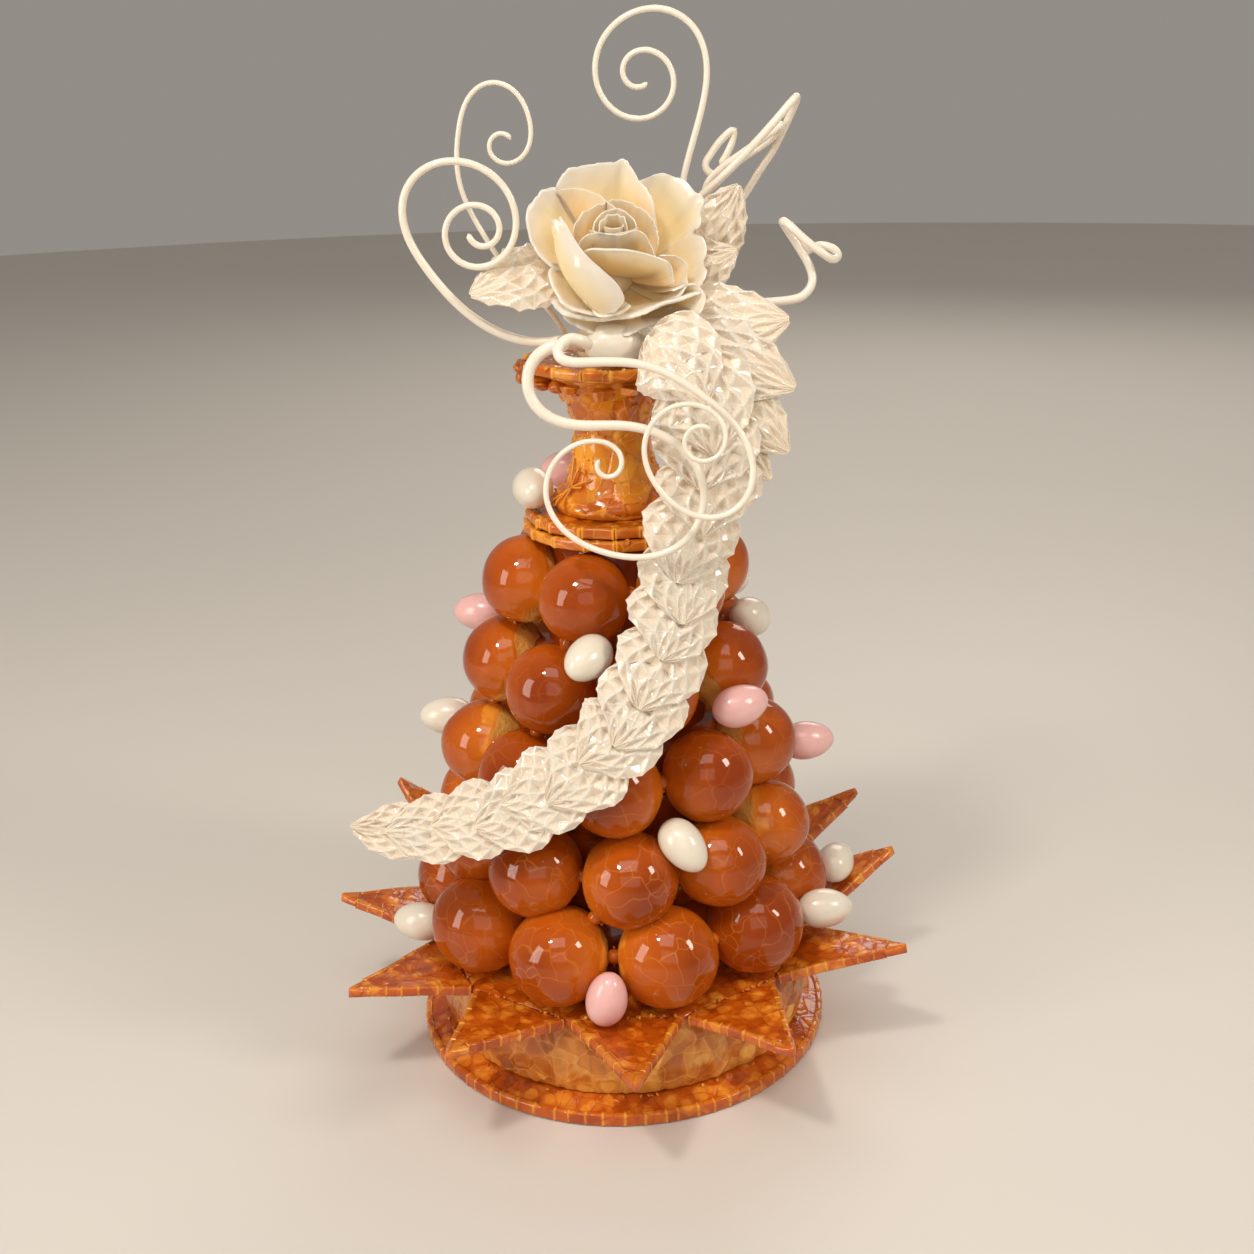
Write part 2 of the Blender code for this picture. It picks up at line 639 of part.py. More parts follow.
def add_leaves(material):
    _, run = garland_place(0)
    spacing = run / (GARLAND_LEAVES - 1 + GARLAND_OVERLAP)
    length = spacing * GARLAND_OVERLAP
    for k in range(GARLAND_LEAVES):
        place, _ = garland_place(k * spacing)
        width = float(np.interp((k + 0.5) / GARLAND_LEAVES, np.linspace(0, 1, len(GARLAND_WIDTHS)),
                                GARLAND_WIDTHS))
        add_leaf(f"garland_leaf_{k + 1}", place, length, width * mm, 4, material, lift=GARLAND_LIFT)
    # three broad leaves that fan out to the right under the rose: stem, tip, width
    fan = (((26, -34, 346), (75, -39, 348), 30), ((28, -31, 342), (79, -40, 322), 36),
           ((40, -34, 326), (75, -42, 295), 34))
    for k, (stem, tip, width) in enumerate(fan, 1):
        place, length = straight_leaf(stem, tip, (0.25, -1, 0.25), 2)
        add_leaf(f"fan_leaf_{k}", place, length, width * mm, 4, material, cup=-2 * mm)
    # three leaves behind the rose
    behind = (("rose_leaf_left", (-22, -13, 364), (-55, -30, 361.5), (-0.1, -0.8, 0.6), 24),
              ("rose_leaf_right", (42, 0, 368), (58.5, 0, 400.5), (0.3, -0.9, 0.3), 26),
              ("rose_leaf_low", (31, -8, 361), (56, -10, 374.5), (0.3, -0.8, 0.5), 24))
    for name, stem, tip, facing, width in behind:
        place, length = straight_leaf(stem, tip, facing, 3)
        add_leaf(name, place, length, width * mm, 4, material, cup=-2 * mm)


clear_scene()
finish = make_materials()
add_base_disc(finish["nougatine"])
add_drum(finish["pale_nougatine"])
add_star(finish["nougatine"])
add_tiers(finish["caramel_puff"])
add_pedestal(finish["amber_nougatine"])
add_almonds(finish)
add_scrolls(finish["pearl_sugar"])
add_rose(finish["pearl_sugar"])
add_leaves(finish["pearl_sugar"])
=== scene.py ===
import itertools
import math

import bmesh
import bpy
import numpy as np
from mathutils import Matrix, Vector


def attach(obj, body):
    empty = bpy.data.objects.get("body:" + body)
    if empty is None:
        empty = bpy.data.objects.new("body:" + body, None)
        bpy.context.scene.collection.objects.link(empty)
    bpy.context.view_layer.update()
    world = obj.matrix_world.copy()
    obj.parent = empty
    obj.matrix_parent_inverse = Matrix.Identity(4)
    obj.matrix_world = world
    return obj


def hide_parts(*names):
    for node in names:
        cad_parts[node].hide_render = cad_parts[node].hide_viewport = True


mm = 0.001
clearance = 0.3 * mm     # between pieces that touch
white, black = (1, 1, 1), (0, 0, 0)
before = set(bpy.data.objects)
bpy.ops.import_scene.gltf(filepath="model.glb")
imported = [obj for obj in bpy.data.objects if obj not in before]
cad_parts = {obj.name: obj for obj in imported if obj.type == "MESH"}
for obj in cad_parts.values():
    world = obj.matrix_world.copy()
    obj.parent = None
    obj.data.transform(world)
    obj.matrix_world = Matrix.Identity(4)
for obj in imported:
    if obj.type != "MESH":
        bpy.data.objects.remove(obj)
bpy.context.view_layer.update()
print("frame loaded,", len(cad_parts), "nodes")


# tools for meshes: a part is (points, faces, values for the materials)

def gridFaces(rows, columns, wrap=False, start=0):
    row = np.arange(rows - 1)[:, None]
    column = np.arange(columns if wrap else columns - 1)[None, :]
    first = row * columns + column
    second = row * columns + (column + 1) % columns
    quads = np.stack([first, second, second + columns, first + columns], axis=-1)
    return quads.reshape(-1, 4) + start


def closedRings(points, values=None):
    # rings of points from one end to the other, closed by a pole at either end
    rows, count = points.shape[:2]
    faces = gridFaces(rows, count, wrap=True).tolist()
    pole, last = rows * count, (rows - 1) * count
    for i in range(count):
        j = (i + 1) % count
        faces.append([pole, j, i])
        faces.append([pole + 1, last + i, last + j])
    flat = np.concatenate([points.reshape(-1, 3), [points[0].mean(0)], [points[-1].mean(0)]])
    filled = {}
    for key, numbers in (values or {}).items():
        numbers = np.broadcast_to(numbers, (rows, count))
        filled[key] = np.concatenate([numbers.ravel(), [numbers[0].mean()], [numbers[-1].mean()]])
    return flat, faces, filled


def shell(top, under, values=None):
    # a sheet with a front and a back, closed round its border
    rows, columns = top.shape[:2]
    half = rows * columns
    faces = gridFaces(rows, columns).tolist()
    faces += gridFaces(rows, columns, start=half)[:, ::-1].tolist()
    index = np.arange(half).reshape(rows, columns)
    border = [*index[0, :-1], *index[:-1, -1], *index[-1, :0:-1], *index[:0:-1, 0]]
    for a, b in zip(border, border[1:] + border[:1]):
        faces.append([int(b), int(a), int(a) + half, int(b) + half])
    flat = np.concatenate([top.reshape(-1, 3), under.reshape(-1, 3)])
    filled = {}
    for key, numbers in (values or {}).items():
        numbers = np.broadcast_to(numbers, (rows, columns)).ravel()
        filled[key] = np.concatenate([numbers, numbers])
    return flat, faces, filled


def joined(parts):
    points, faces, keys = [], [], sorted({key for part in parts for key in part[2]})
    values = {key: [] for key in keys}
    start = 0
    for flat, quads, numbers in parts:
        points.append(flat)
        faces += [[corner + start for corner in face] for face in quads]
        for key in keys:
            values[key].append(numbers.get(key, np.zeros(len(flat))))
        start += len(flat)
    return np.concatenate(points), faces, {key: np.concatenate(found) for key, found in values.items()}


def addMesh(name, part, linked=True):
    points, faces, values = part
    mesh = bpy.data.meshes.new(name)
    mesh.from_pydata(np.asarray(points, float).tolist(), [], faces)
    solid = bmesh.new()
    solid.from_mesh(mesh)
    bmesh.ops.recalc_face_normals(solid, faces=solid.faces[:])
    solid.to_mesh(mesh)
    solid.free()
    for key, numbers in values.items():
        attribute = mesh.attributes.new(key, "FLOAT", "POINT")
        attribute.data.foreach_set("value", np.asarray(numbers, np.float32))
    mesh.shade_smooth()
    obj = bpy.data.objects.new(name, mesh)
    if linked:
        bpy.context.scene.collection.objects.link(obj)
    return obj


def settle(obj, finish, node):
    # the finished piece takes its material, rides on the body and stands for its node
    obj.data.materials.clear()
    obj.data.materials.append(finishes[finish])
    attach(obj, "root")
    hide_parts(node)


def pieceName(node):
    first, *others = node.split("_")
    return first + "".join(word.capitalize() for word in others)


def normals(grid, wrap=False):
    if wrap:
        along = np.roll(grid, -1, axis=1) - np.roll(grid, 1, axis=1)
    else:
        along = np.gradient(grid, axis=1)
    found = np.cross(np.gradient(grid, axis=0), along)
    return found / np.maximum(np.linalg.norm(found, axis=-1, keepdims=True), 1e-12)


def unit(vectors):
    return vectors / np.maximum(np.linalg.norm(vectors, axis=-1, keepdims=True), 1e-12)


def around(azimuth, radius, height):
    # azimuth in degrees from the front towards +X
    angle = np.radians(azimuth)
    return np.stack(np.broadcast_arrays(radius * np.sin(angle), -radius * np.cos(angle), height), axis=-1)


def fullTurn(count, whole=360):
    # evenly spaced angles once round
    return np.linspace(0, whole, count, endpoint=False)


def turned(radii, heights, count):
    # a profile turned round the upright axis
    return around(fullTurn(count)[None, :], radii[:, None], heights[:, None])


def runAlong(path):
    # how far along a line each of its points lies
    return np.concatenate([[0], np.cumsum(np.linalg.norm(np.diff(path, axis=0), axis=1))])


def placesAt(distances, run, path):
    return np.stack([np.interp(distances, run, path[:, i]) for i in range(3)], axis=-1)


def rounded(wave, power):
    # a sine or cosine pushed outwards, so that its circle becomes a rounded square
    return np.sign(wave) * np.abs(wave) ** power


def smoothStep(low, high, value):
    share = np.clip((value - low) / (high - low), 0, 1)
    return share * share * (3 - 2 * share)


# repeatable randomness over space

def scatter(x, y, z, seed):
    # a number from 0 to 1 for each whole-number place
    mask = 0xFFFFFFFF
    n = (x * 374761393 + y * 668265263 + z * 1274126177 + seed * 974711) & mask
    n = ((n ^ (n >> 13)) * 1103515245) & mask
    n = ((n ^ (n >> 15)) * 2246822519) & mask
    return (n ^ (n >> 16)) / mask


def softNoise(points, size, seed):
    # smooth noise from -1 to 1, with features of the given size
    shape = points.shape[:-1]
    place = points.reshape(-1, 3) / size
    base = np.floor(place).astype(np.int64)
    part = place - base
    part = part * part * (3 - 2 * part)
    total = np.zeros(len(place))
    for corner in itertools.product((0, 1), repeat=3):
        x, y, z = (base + corner).T
        weight = np.prod(np.where(corner, part, 1 - part), axis=1)
        total += weight * scatter(x, y, z, seed)
    return (2 * total - 1).reshape(shape)


def flakes(points, size, seed):
    # distance to the nearest flake's middle and to its edge, in flake sizes, and a number for each flake
    shape = points.shape[:-1]
    place = points.reshape(-1, 3) / size
    base = np.floor(place).astype(np.int64)
    near = np.full(len(place), 9.0)
    second = near.copy()
    tone = np.zeros(len(place))
    for offset in itertools.product((-1, 0, 1), repeat=3):
        x, y, z = cell = (base + offset).T
        middle = np.stack([cell[i] + scatter(x, y, z, seed + i) for i in range(3)], axis=1)
        away = np.linalg.norm(place - middle, axis=1)
        closer = away < near
        second = np.where(closer, near, np.minimum(second, away))
        tone = np.where(closer, scatter(x, y, z, seed + 3), tone)
        near = np.where(closer, away, near)
    return near.reshape(shape), (second - near).reshape(shape), tone.reshape(shape)


# tools for materials

def newMaterial(name, roughness=0.3, **settings):
    material = bpy.data.materials.new(name)
    material.use_nodes = True
    tree = material.node_tree
    shader = tree.nodes["Principled BSDF"]
    shader.inputs["Roughness"].default_value = roughness
    for key, value in settings.items():
        shader.inputs[key.replace("_", " ")].default_value = value
    return material, tree, shader


def addNode(tree, kind, inputs=None, **settings):
    made = tree.nodes.new(kind)
    for key, value in settings.items():
        setattr(made, key, value)
    for key, value in (inputs or {}).items():
        if isinstance(value, bpy.types.NodeSocket):
            tree.links.new(value, made.inputs[key])
        else:
            made.inputs[key].default_value = value
    return made


def attribute(tree, name):
    return addNode(tree, "ShaderNodeAttribute", attribute_name=name).outputs["Fac"]


def objectPlace(tree):
    return addNode(tree, "ShaderNodeTexCoord").outputs["Object"]


def noise(tree, scale, detail=3, vector=None):
    inputs = {"Vector": vector or objectPlace(tree), "Scale": scale, "Detail": detail}
    return addNode(tree, "ShaderNodeTexNoise", inputs).outputs["Fac"]


def calculate(tree, operation, first, second=0.0, clamp=False):
    return addNode(tree, "ShaderNodeMath", {0: first, 1: second}, operation=operation,
                   use_clamp=clamp).outputs[0]


def centred(tree, value, weight):
    # turns a value from 0 to 1 into a change about zero
    return calculate(tree, "MULTIPLY", calculate(tree, "SUBTRACT", value, 0.5), weight)


def ramp(tree, value, stops):
    made = addNode(tree, "ShaderNodeValToRGB", {"Fac": value})
    elements = made.color_ramp.elements
    while len(elements) < len(stops):
        elements.new(0.5)
    for element, (position, colour) in zip(elements, stops):
        element.position = position
        element.color = (*colour, 1)
    return made.outputs["Color"]


def mixColours(tree, factor, first, second):
    made = addNode(tree, "ShaderNodeMix", data_type="RGBA")
    for index, value in ((0, factor), (6, first), (7, second)):
        if isinstance(value, bpy.types.NodeSocket):
            tree.links.new(value, made.inputs[index])
        else:
            made.inputs[index].default_value = (*value, 1)
    return made.outputs[2]


def bump(tree, shader, height, distance, strength=1.0):
    made = addNode(tree, "ShaderNodeBump", {"Height": height, "Distance": distance, "Strength": strength})
    tree.links.new(made.outputs["Normal"], shader.inputs["Normal"])


# materials

caramelColours = dict(
    rim=(0.80, 0.30, 0.035), edge=(0.60, 0.145, 0.009), middle=(0.44, 0.080, 0.004),
    deep=(0.27, 0.038, 0.002),
    web=(0.86, 0.36, 0.07), chouxLight=(0.86, 0.50, 0.13), chouxDark=(0.62, 0.25, 0.035),
)


def bentPlace(tree, scale, amount):
    # places pushed about by soft noise, so that lines drawn through them bend
    bend = addNode(tree, "ShaderNodeTexNoise", {"Vector": objectPlace(tree), "Scale": scale, "Detail": 1})
    bend = addNode(tree, "ShaderNodeVectorMath", {0: bend.outputs["Color"], 1: (amount,) * 3},
                   operation="MULTIPLY")
    return addNode(tree, "ShaderNodeVectorMath", {0: bend.outputs[0], 1: objectPlace(tree)},
                   operation="ADD").outputs[0]


def cellLines(tree, place, scale, width):
    cells = addNode(tree, "ShaderNodeTexVoronoi", {"Vector": place, "Scale": scale},
                    feature="DISTANCE_TO_EDGE")
    return ramp(tree, cells.outputs["Distance"], ((0.0, white), (width, black)))


def makeCaramelPuff():
    material, tree, shader = newMaterial("caramelPuff", Subsurface_Weight=0.12, Subsurface_Scale=0.004,
                                         Specular_IOR_Level=0.42)
    shader.inputs["Subsurface Radius"].default_value = (1.0, 0.4, 0.12)
    cap, depth, tone, web = (attribute(tree, name) for name in ("cap", "depth", "tone", "web"))
    # the caramel is pale at its rim and darkens towards the middle of the cap
    change = calculate(tree, "ADD", centred(tree, noise(tree, 55), 0.6), centred(tree, tone, 0.3))
    inward = calculate(tree, "MULTIPLY", depth, 5.0, clamp=True)
    thick = calculate(tree, "ADD", depth, calculate(tree, "MULTIPLY", change, inward))
    caramel = ramp(tree, thick, ((0.0, caramelColours["rim"]), (0.04, caramelColours["edge"]),
                                 (0.42, caramelColours["middle"]), (0.95, caramelColours["deep"])))
    line = cellLines(tree, bentPlace(tree, 70, 0.016), 85, 0.035)
    line = calculate(tree, "MULTIPLY", line, calculate(tree, "MULTIPLY", web, noise(tree, 30)))
    caramel = mixColours(tree, calculate(tree, "MULTIPLY", line, 0.42), caramel, caramelColours["web"])
    crust = ramp(tree, noise(tree, 110, 6), ((0.3, black), (0.7, white)))
    choux = mixColours(tree, crust, caramelColours["chouxDark"], caramelColours["chouxLight"])
    tree.links.new(mixColours(tree, cap, choux, caramel), shader.inputs["Base Color"])
    gloss = ramp(tree, cap, ((0.0, (0.30,) * 3), (1.0, (0.055,) * 3)))
    tree.links.new(gloss, shader.inputs["Roughness"])
    ripple = calculate(tree, "MULTIPLY", noise(tree, 70, 2), 0.5)
    grain = calculate(tree, "MULTIPLY", noise(tree, 600, 4), calculate(tree, "SUBTRACT", 1.0, cap))
    bump(tree, shader, calculate(tree, "ADD", ripple, grain), 0.0012, 0.6)
    return material


def makeNougatine(name, dark, body, light, seam, roughness=0.12, grain=330, cell=9 * mm, seamShare=0.5):
    # clear caramel with set flakes: the flake value is high on raised flakes and also carries painted
    # highlights on the tops of bricks, noses and knobs and on the drum's lobes; "tone" differs between flakes
    material, tree, shader = newMaterial(name, roughness, Subsurface_Weight=0.2, Subsurface_Scale=0.004,
                                         Coat_Weight=0.25, Coat_Roughness=0.05, Specular_IOR_Level=0.42)
    shader.inputs["Subsurface Radius"].default_value = (1.0, 0.42, 0.12)
    place = bentPlace(tree, 60, 0.010)
    cells = addNode(tree, "ShaderNodeTexVoronoi", {"Vector": place, "Scale": 1 / cell})
    pick = addNode(tree, "ShaderNodeSeparateColor", {"Color": cells.outputs["Color"]}).outputs[0]
    spot = ramp(tree, cells.outputs["Distance"], ((0.30, white), (0.40, black)))
    oval = calculate(tree, "MULTIPLY", spot, calculate(tree, "GREATER_THAN", pick, 0.62))
    share = calculate(tree, "MULTIPLY_ADD", attribute(tree, "flake"), 0.75)
    share.node.inputs[2].default_value = 0.10
    for change in (centred(tree, noise(tree, 130, 4), 0.4), centred(tree, attribute(tree, "tone"), 0.2),
                   centred(tree, pick, 0.22), calculate(tree, "MULTIPLY", oval, 0.22)):
        share = calculate(tree, "ADD", share, change)
    colour = ramp(tree, share, ((0.05, dark), (0.42, body), (0.95, light)))
    lines = calculate(tree, "MULTIPLY", cellLines(tree, place, 1 / cell, 0.04), noise(tree, 45))
    colour = mixColours(tree, calculate(tree, "MULTIPLY", lines, seamShare * 2, clamp=True), colour, seam)
    tree.links.new(colour, shader.inputs["Base Color"])
    relief = calculate(tree, "ADD", noise(tree, grain, 3), calculate(tree, "MULTIPLY", lines, 0.8))
    bump(tree, shader, relief, 0.0005, 0.45)
    return material


def makePearl(name, low, high, roughness, streak=None, scatterWeight=0.3, scatterSize=0.004, relief=0.3):
    # pulled and moulded sugar, coloured by "lift": warm where it is low, as painted shade in folds and near
    # petal roots, and ivory where it is high, as painted highlight on ridges, rims and one side of the rods;
    # with a silky sheen;
    # `streak` gives pulled sugar fine grooves, as their number across and along
    material, tree, shader = newMaterial(name, roughness, Subsurface_Weight=scatterWeight,
                                         Subsurface_Scale=scatterSize, Coat_Weight=0.5, Coat_Roughness=0.1,
                                         Sheen_Weight=0.12, Sheen_Roughness=0.4)
    shader.inputs["Subsurface Radius"].default_value = (1.0, 0.72, 0.45)
    share = calculate(tree, "ADD", attribute(tree, "lift"), centred(tree, noise(tree, 90, 4), 0.3))
    middle = tuple((a + 2 * b) / 3 for a, b in zip(low, high))
    colour = ramp(tree, share, ((0.0, low), (0.45, middle), (0.9, high)))
    tree.links.new(colour, shader.inputs["Base Color"])
    if streak:
        across = calculate(tree, "MULTIPLY", attribute(tree, "across"), streak[0])
        along = calculate(tree, "MULTIPLY", attribute(tree, "along"), streak[1])
        place = addNode(tree, "ShaderNodeCombineXYZ", {"X": across, "Y": along}).outputs["Vector"]
        fine = noise(tree, 1.0, 2, place)
        bump(tree, shader, fine, 0.00012, relief)
        rough = ramp(tree, fine, ((0.3, (roughness * 0.75,) * 3), (0.7, (roughness * 1.3,) * 3)))
        tree.links.new(rough, shader.inputs["Roughness"])
    elif relief:
        bump(tree, shader, noise(tree, 260, 2), 0.0002, relief)
    return material


def makeAlmondSugar(name, light, shade):
    material, tree, shader = newMaterial(name, 0.24, Subsurface_Weight=0.25, Subsurface_Scale=0.003,
                                         Coat_Weight=0.35, Coat_Roughness=0.22)
    shader.inputs["Subsurface Radius"].default_value = (1.0, 0.7, 0.55)
    colour = mixColours(tree, noise(tree, 120, 3), shade, light)
    tree.links.new(colour, shader.inputs["Base Color"])
    bump(tree, shader, noise(tree, 160, 2), 0.0005, 0.3)
    return material


finishes = {
    "puff": makeCaramelPuff(),
    "nougatine": makeNougatine("nougatine", (0.22, 0.024, 0.001), (0.54, 0.100, 0.005),
                               (0.86, 0.33, 0.032), (0.30, 0.035, 0.002)),
    "paleNougatine": makeNougatine("paleNougatine", (0.26, 0.045, 0.004), (0.54, 0.150, 0.015),
                                   (0.90, 0.46, 0.09), (0.90, 0.46, 0.12),
                                   roughness=0.18, grain=500, cell=11 * mm, seamShare=0.4),
    "amber": makeNougatine("amberNougatine", (0.30, 0.04, 0.002), (0.60, 0.145, 0.006),
                           (0.88, 0.38, 0.035), (0.90, 0.40, 0.05), cell=12 * mm),
    "petal": makePearl("petalSugar", (0.97, 0.69, 0.34), (0.91, 0.81, 0.65), 0.22, streak=(2.0, 0.5),
                       scatterWeight=0.55, scatterSize=0.008, relief=0.12),
    "leaf": makePearl("leafSugar", (0.74, 0.49, 0.29), (0.87, 0.765, 0.63), 0.12),
    "rod": makePearl("pulledSugar", (0.82, 0.72, 0.58), (0.86, 0.79, 0.68), 0.18, scatterWeight=0.1,
                     scatterSize=0.0008, relief=0),
    "whiteAlmond": makeAlmondSugar("whiteAlmondSugar", (0.80, 0.745, 0.64), (0.76, 0.685, 0.56)),
    "pinkAlmond": makeAlmondSugar("pinkAlmondSugar", (0.84, 0.52, 0.49), (0.80, 0.44, 0.42)),
}
print("materials made")


# Geometry Nodes trees

def newTree(name, sockets):
    tree = bpy.data.node_groups.new(name, "GeometryNodeTree")
    tree.interface.new_socket("Geometry", in_out="INPUT", socket_type="NodeSocketGeometry")
    for label, kind in sockets:
        tree.interface.new_socket(label, in_out="INPUT", socket_type="NodeSocket" + kind)
    tree.interface.new_socket("Geometry", in_out="OUTPUT", socket_type="NodeSocketGeometry")
    return tree, tree.nodes.new("NodeGroupInput"), tree.nodes.new("NodeGroupOutput")


def endTree(tree, given, result, instances):
    real = addNode(tree, "GeometryNodeRealizeInstances", {"Geometry": instances})
    painted = addNode(tree, "GeometryNodeSetMaterial",
                      {"Geometry": real.outputs[0], "Material": given.outputs["Material"]})
    tree.links.new(painted.outputs[0], result.inputs[0])


def keepTone(tree, instances, seed):
    chance = addNode(tree, "FunctionNodeRandomValue", {"Seed": seed}, data_type="FLOAT")
    return addNode(tree, "GeometryNodeStoreNamedAttribute",
                   {"Geometry": instances, "Name": "tone", "Value": chance.outputs[1]},
                   data_type="FLOAT", domain="INSTANCE").outputs[0]


def makeBrickRowTree():
    # lays bricks of set caramel end to end along a line whose points carry each brick's own "span"
    tree, given, result = newTree("brickRow", (("Size", "Vector"), ("Up", "Vector"), ("Unevenness", "Float"),
                                               ("Seed", "Int"), ("Brick", "Object"),
                                               ("Material", "Material")))
    line = addNode(tree, "GeometryNodeMeshToCurve", {"Mesh": given.outputs["Geometry"]})
    tangent = addNode(tree, "GeometryNodeInputTangent").outputs[0]
    lengthways = addNode(tree, "FunctionNodeAlignRotationToVector", {"Vector": tangent}, axis="X")
    upright = addNode(tree, "FunctionNodeAlignRotationToVector",
                      {"Rotation": lengthways.outputs[0], "Vector": given.outputs["Up"]},
                      axis="Z", pivot_axis="X")
    low = addNode(tree, "ShaderNodeMath", {0: 1.0, 1: given.outputs["Unevenness"]}, operation="SUBTRACT")
    high = addNode(tree, "ShaderNodeMath", {0: 1.0, 1: given.outputs["Unevenness"]}, operation="ADD")
    change = addNode(tree, "FunctionNodeRandomValue",
                     {0: low.outputs[0], 1: high.outputs[0], "Seed": given.outputs["Seed"]},
                     data_type="FLOAT_VECTOR")
    size = addNode(tree, "ShaderNodeVectorMath", {0: given.outputs["Size"], 1: change.outputs[0]},
                   operation="MULTIPLY")
    parts = addNode(tree, "ShaderNodeSeparateXYZ", {"Vector": size.outputs[0]})
    span = addNode(tree, "GeometryNodeInputNamedAttribute", {"Name": "span"}, data_type="FLOAT")
    fitted = addNode(tree, "ShaderNodeCombineXYZ",
                     {"X": span.outputs[0], "Y": parts.outputs[1], "Z": parts.outputs[2]})
    brick = addNode(tree, "GeometryNodeObjectInfo", {"Object": given.outputs["Brick"]})
    bricks = addNode(tree, "GeometryNodeInstanceOnPoints",
                     {"Points": line.outputs[0], "Instance": brick.outputs["Geometry"],
                      "Rotation": upright.outputs[0], "Scale": fitted.outputs[0]})
    endTree(tree, given, result, keepTone(tree, bricks.outputs[0], given.outputs["Seed"]))
    return tree


def makeScatterTree():
    # sets drops, spikes or puffs on points that carry their own "size" and "turn"
    tree, given, result = newTree("scatterPieces", (("Pieces", "Collection"), ("Seed", "Int"),
                                                    ("Material", "Material")))
    kinds = addNode(tree, "GeometryNodeCollectionInfo",
                    {"Collection": given.outputs["Pieces"], "Separate Children": True,
                     "Reset Children": True})
    size = addNode(tree, "GeometryNodeInputNamedAttribute", {"Name": "size"}, data_type="FLOAT_VECTOR")
    turn = addNode(tree, "GeometryNodeInputNamedAttribute", {"Name": "turn"}, data_type="FLOAT_VECTOR")
    turned = addNode(tree, "FunctionNodeEulerToRotation", {0: turn.outputs[0]})
    pick = addNode(tree, "FunctionNodeRandomValue",
                   {4: 0, 5: 99, "Seed": given.outputs["Seed"]}, data_type="INT")
    points = addNode(tree, "GeometryNodeInstanceOnPoints",
                     {"Points": given.outputs["Geometry"], "Instance": kinds.outputs[0],
                      "Pick Instance": True,
                      "Instance Index": pick.outputs[2], "Rotation": turned.outputs[0],
                      "Scale": size.outputs[0]})
    endTree(tree, given, result, keepTone(tree, points.outputs[0], given.outputs["Seed"]))
    return tree


def runTree(obj, tree, **values):
    # works the tree out on the object and leaves a plain mesh
    modifier = obj.modifiers.new(tree.name, "NODES")
    modifier.node_group = tree
    for item in tree.interface.items_tree:
        if item.in_out == "INPUT" and item.name in values:
            modifier[item.identifier] = values[item.name]
    graph = bpy.context.evaluated_depsgraph_get()
    mesh = bpy.data.meshes.new_from_object(obj.evaluated_get(graph))
    obj.modifiers.clear()
    old = obj.data
    obj.data = mesh
    bpy.data.meshes.remove(old)
    mesh.shade_smooth()
    return obj


def joinObjects(first, *others):
    with bpy.context.temp_override(active_object=first, object=first,
                                   selected_editable_objects=[first, *others]):
        bpy.ops.object.join()
    return first


def pointCloud(name, places, sizes, turns):
    mesh = bpy.data.meshes.new(name)
    mesh.from_pydata(np.asarray(places).tolist(), [], [])
    for key, numbers in (("size", sizes), ("turn", turns)):
        made = mesh.attributes.new(key, "FLOAT_VECTOR", "POINT")
        made.data.foreach_set("vector", np.asarray(numbers, np.float32).ravel())
    obj = bpy.data.objects.new(name, mesh)
    bpy.context.scene.collection.objects.link(obj)
    return obj


def line(name, points, closed=False):
    count = len(points)
    edges = [(i, i + 1) for i in range(count - 1)] + ([(count - 1, 0)] if closed else [])
    mesh = bpy.data.meshes.new(name)
    mesh.from_pydata(np.asarray(points).tolist(), edges, [])
    obj = bpy.data.objects.new(name, mesh)
    bpy.context.scene.collection.objects.link(obj)
    return obj


brickRowTree = makeBrickRowTree()
scatterTree = makeScatterTree()


def makeBrick():
    # a rounded brick of size 1 with a raised seam of caramel at either end
    level = np.array([-0.5, -0.48, -0.45, -0.41, -0.34, -0.2, 0, 0.2, 0.34, 0.41, 0.45, 0.48, 0.5])[:, None]
    turn = fullTurn(20, 2 * math.pi)[None, :]
    seam = smoothStep(0.39, 0.46, np.abs(level))
    swell = 0.5 * (1 - 0.05 * smoothStep(0.2, 0.4, np.abs(level)) + 0.13 * seam)
    side = swell * rounded(np.cos(turn), 0.5)
    rise = swell * rounded(np.sin(turn), 0.5)
    shape = np.stack(np.broadcast_arrays(level, side, rise), axis=-1)
    # painted highlight: the upper side of each brick is painted lighter; the seams at its ends are lighter
    # too
    flake = 0.40 + 0.26 * np.maximum(np.sin(turn), 0) ** 3 + 0.55 * seam
    return addMesh("brick", closedRings(shape, {"flake": flake}), linked=False)


def sphereRings(rows, count):
    level = np.linspace(-math.pi / 2, math.pi / 2, rows + 2)[1:-1, None]
    turn = fullTurn(count, 2 * math.pi)[None, :]
    return np.stack(np.broadcast_arrays(np.cos(level) * np.cos(turn), np.cos(level) * np.sin(turn),
                                        np.sin(level)), axis=-1)


def makeDrops():
    # set drops of caramel: a round one, a flat one and a pointed one
    kinds = bpy.data.collections.new("drops")
    ball = sphereRings(6, 10)
    for number, (squash, point) in enumerate(((1.0, 0.0), (0.6, 0.0), (0.9, 0.9))):
        shape = ball * (1, 1, squash)
        shape[..., 2] += point * np.maximum(ball[..., 2], 0) ** 4
        part = closedRings(shape, {"flake": 0.75})
        kinds.objects.link(addMesh(f"drop{number}", part, linked=False))
    return kinds


def makeSpikes():
    # thin drawn points of caramel, standing on their ends
    kinds = bpy.data.collections.new("spikes")
    for number, bend in enumerate((0.15, -0.1, 0.3)):
        rows = np.linspace(0, 1, 6)[:, None]
        turn = fullTurn(7, 2 * math.pi)[None, :]
        radius = 0.5 * (1 - rows) ** 1.4 + 0.03
        shape = np.stack(np.broadcast_arrays(radius * np.cos(turn) + bend * rows ** 2,
                                             radius * np.sin(turn), rows), axis=-1)
        part = closedRings(shape, {"flake": 0.5 + 0.5 * rows})
        kinds.objects.link(addMesh(f"spike{number}", part, linked=False))
    return kinds


brick = makeBrick()
drops = makeDrops()
spikes = makeSpikes()
print("node trees made")


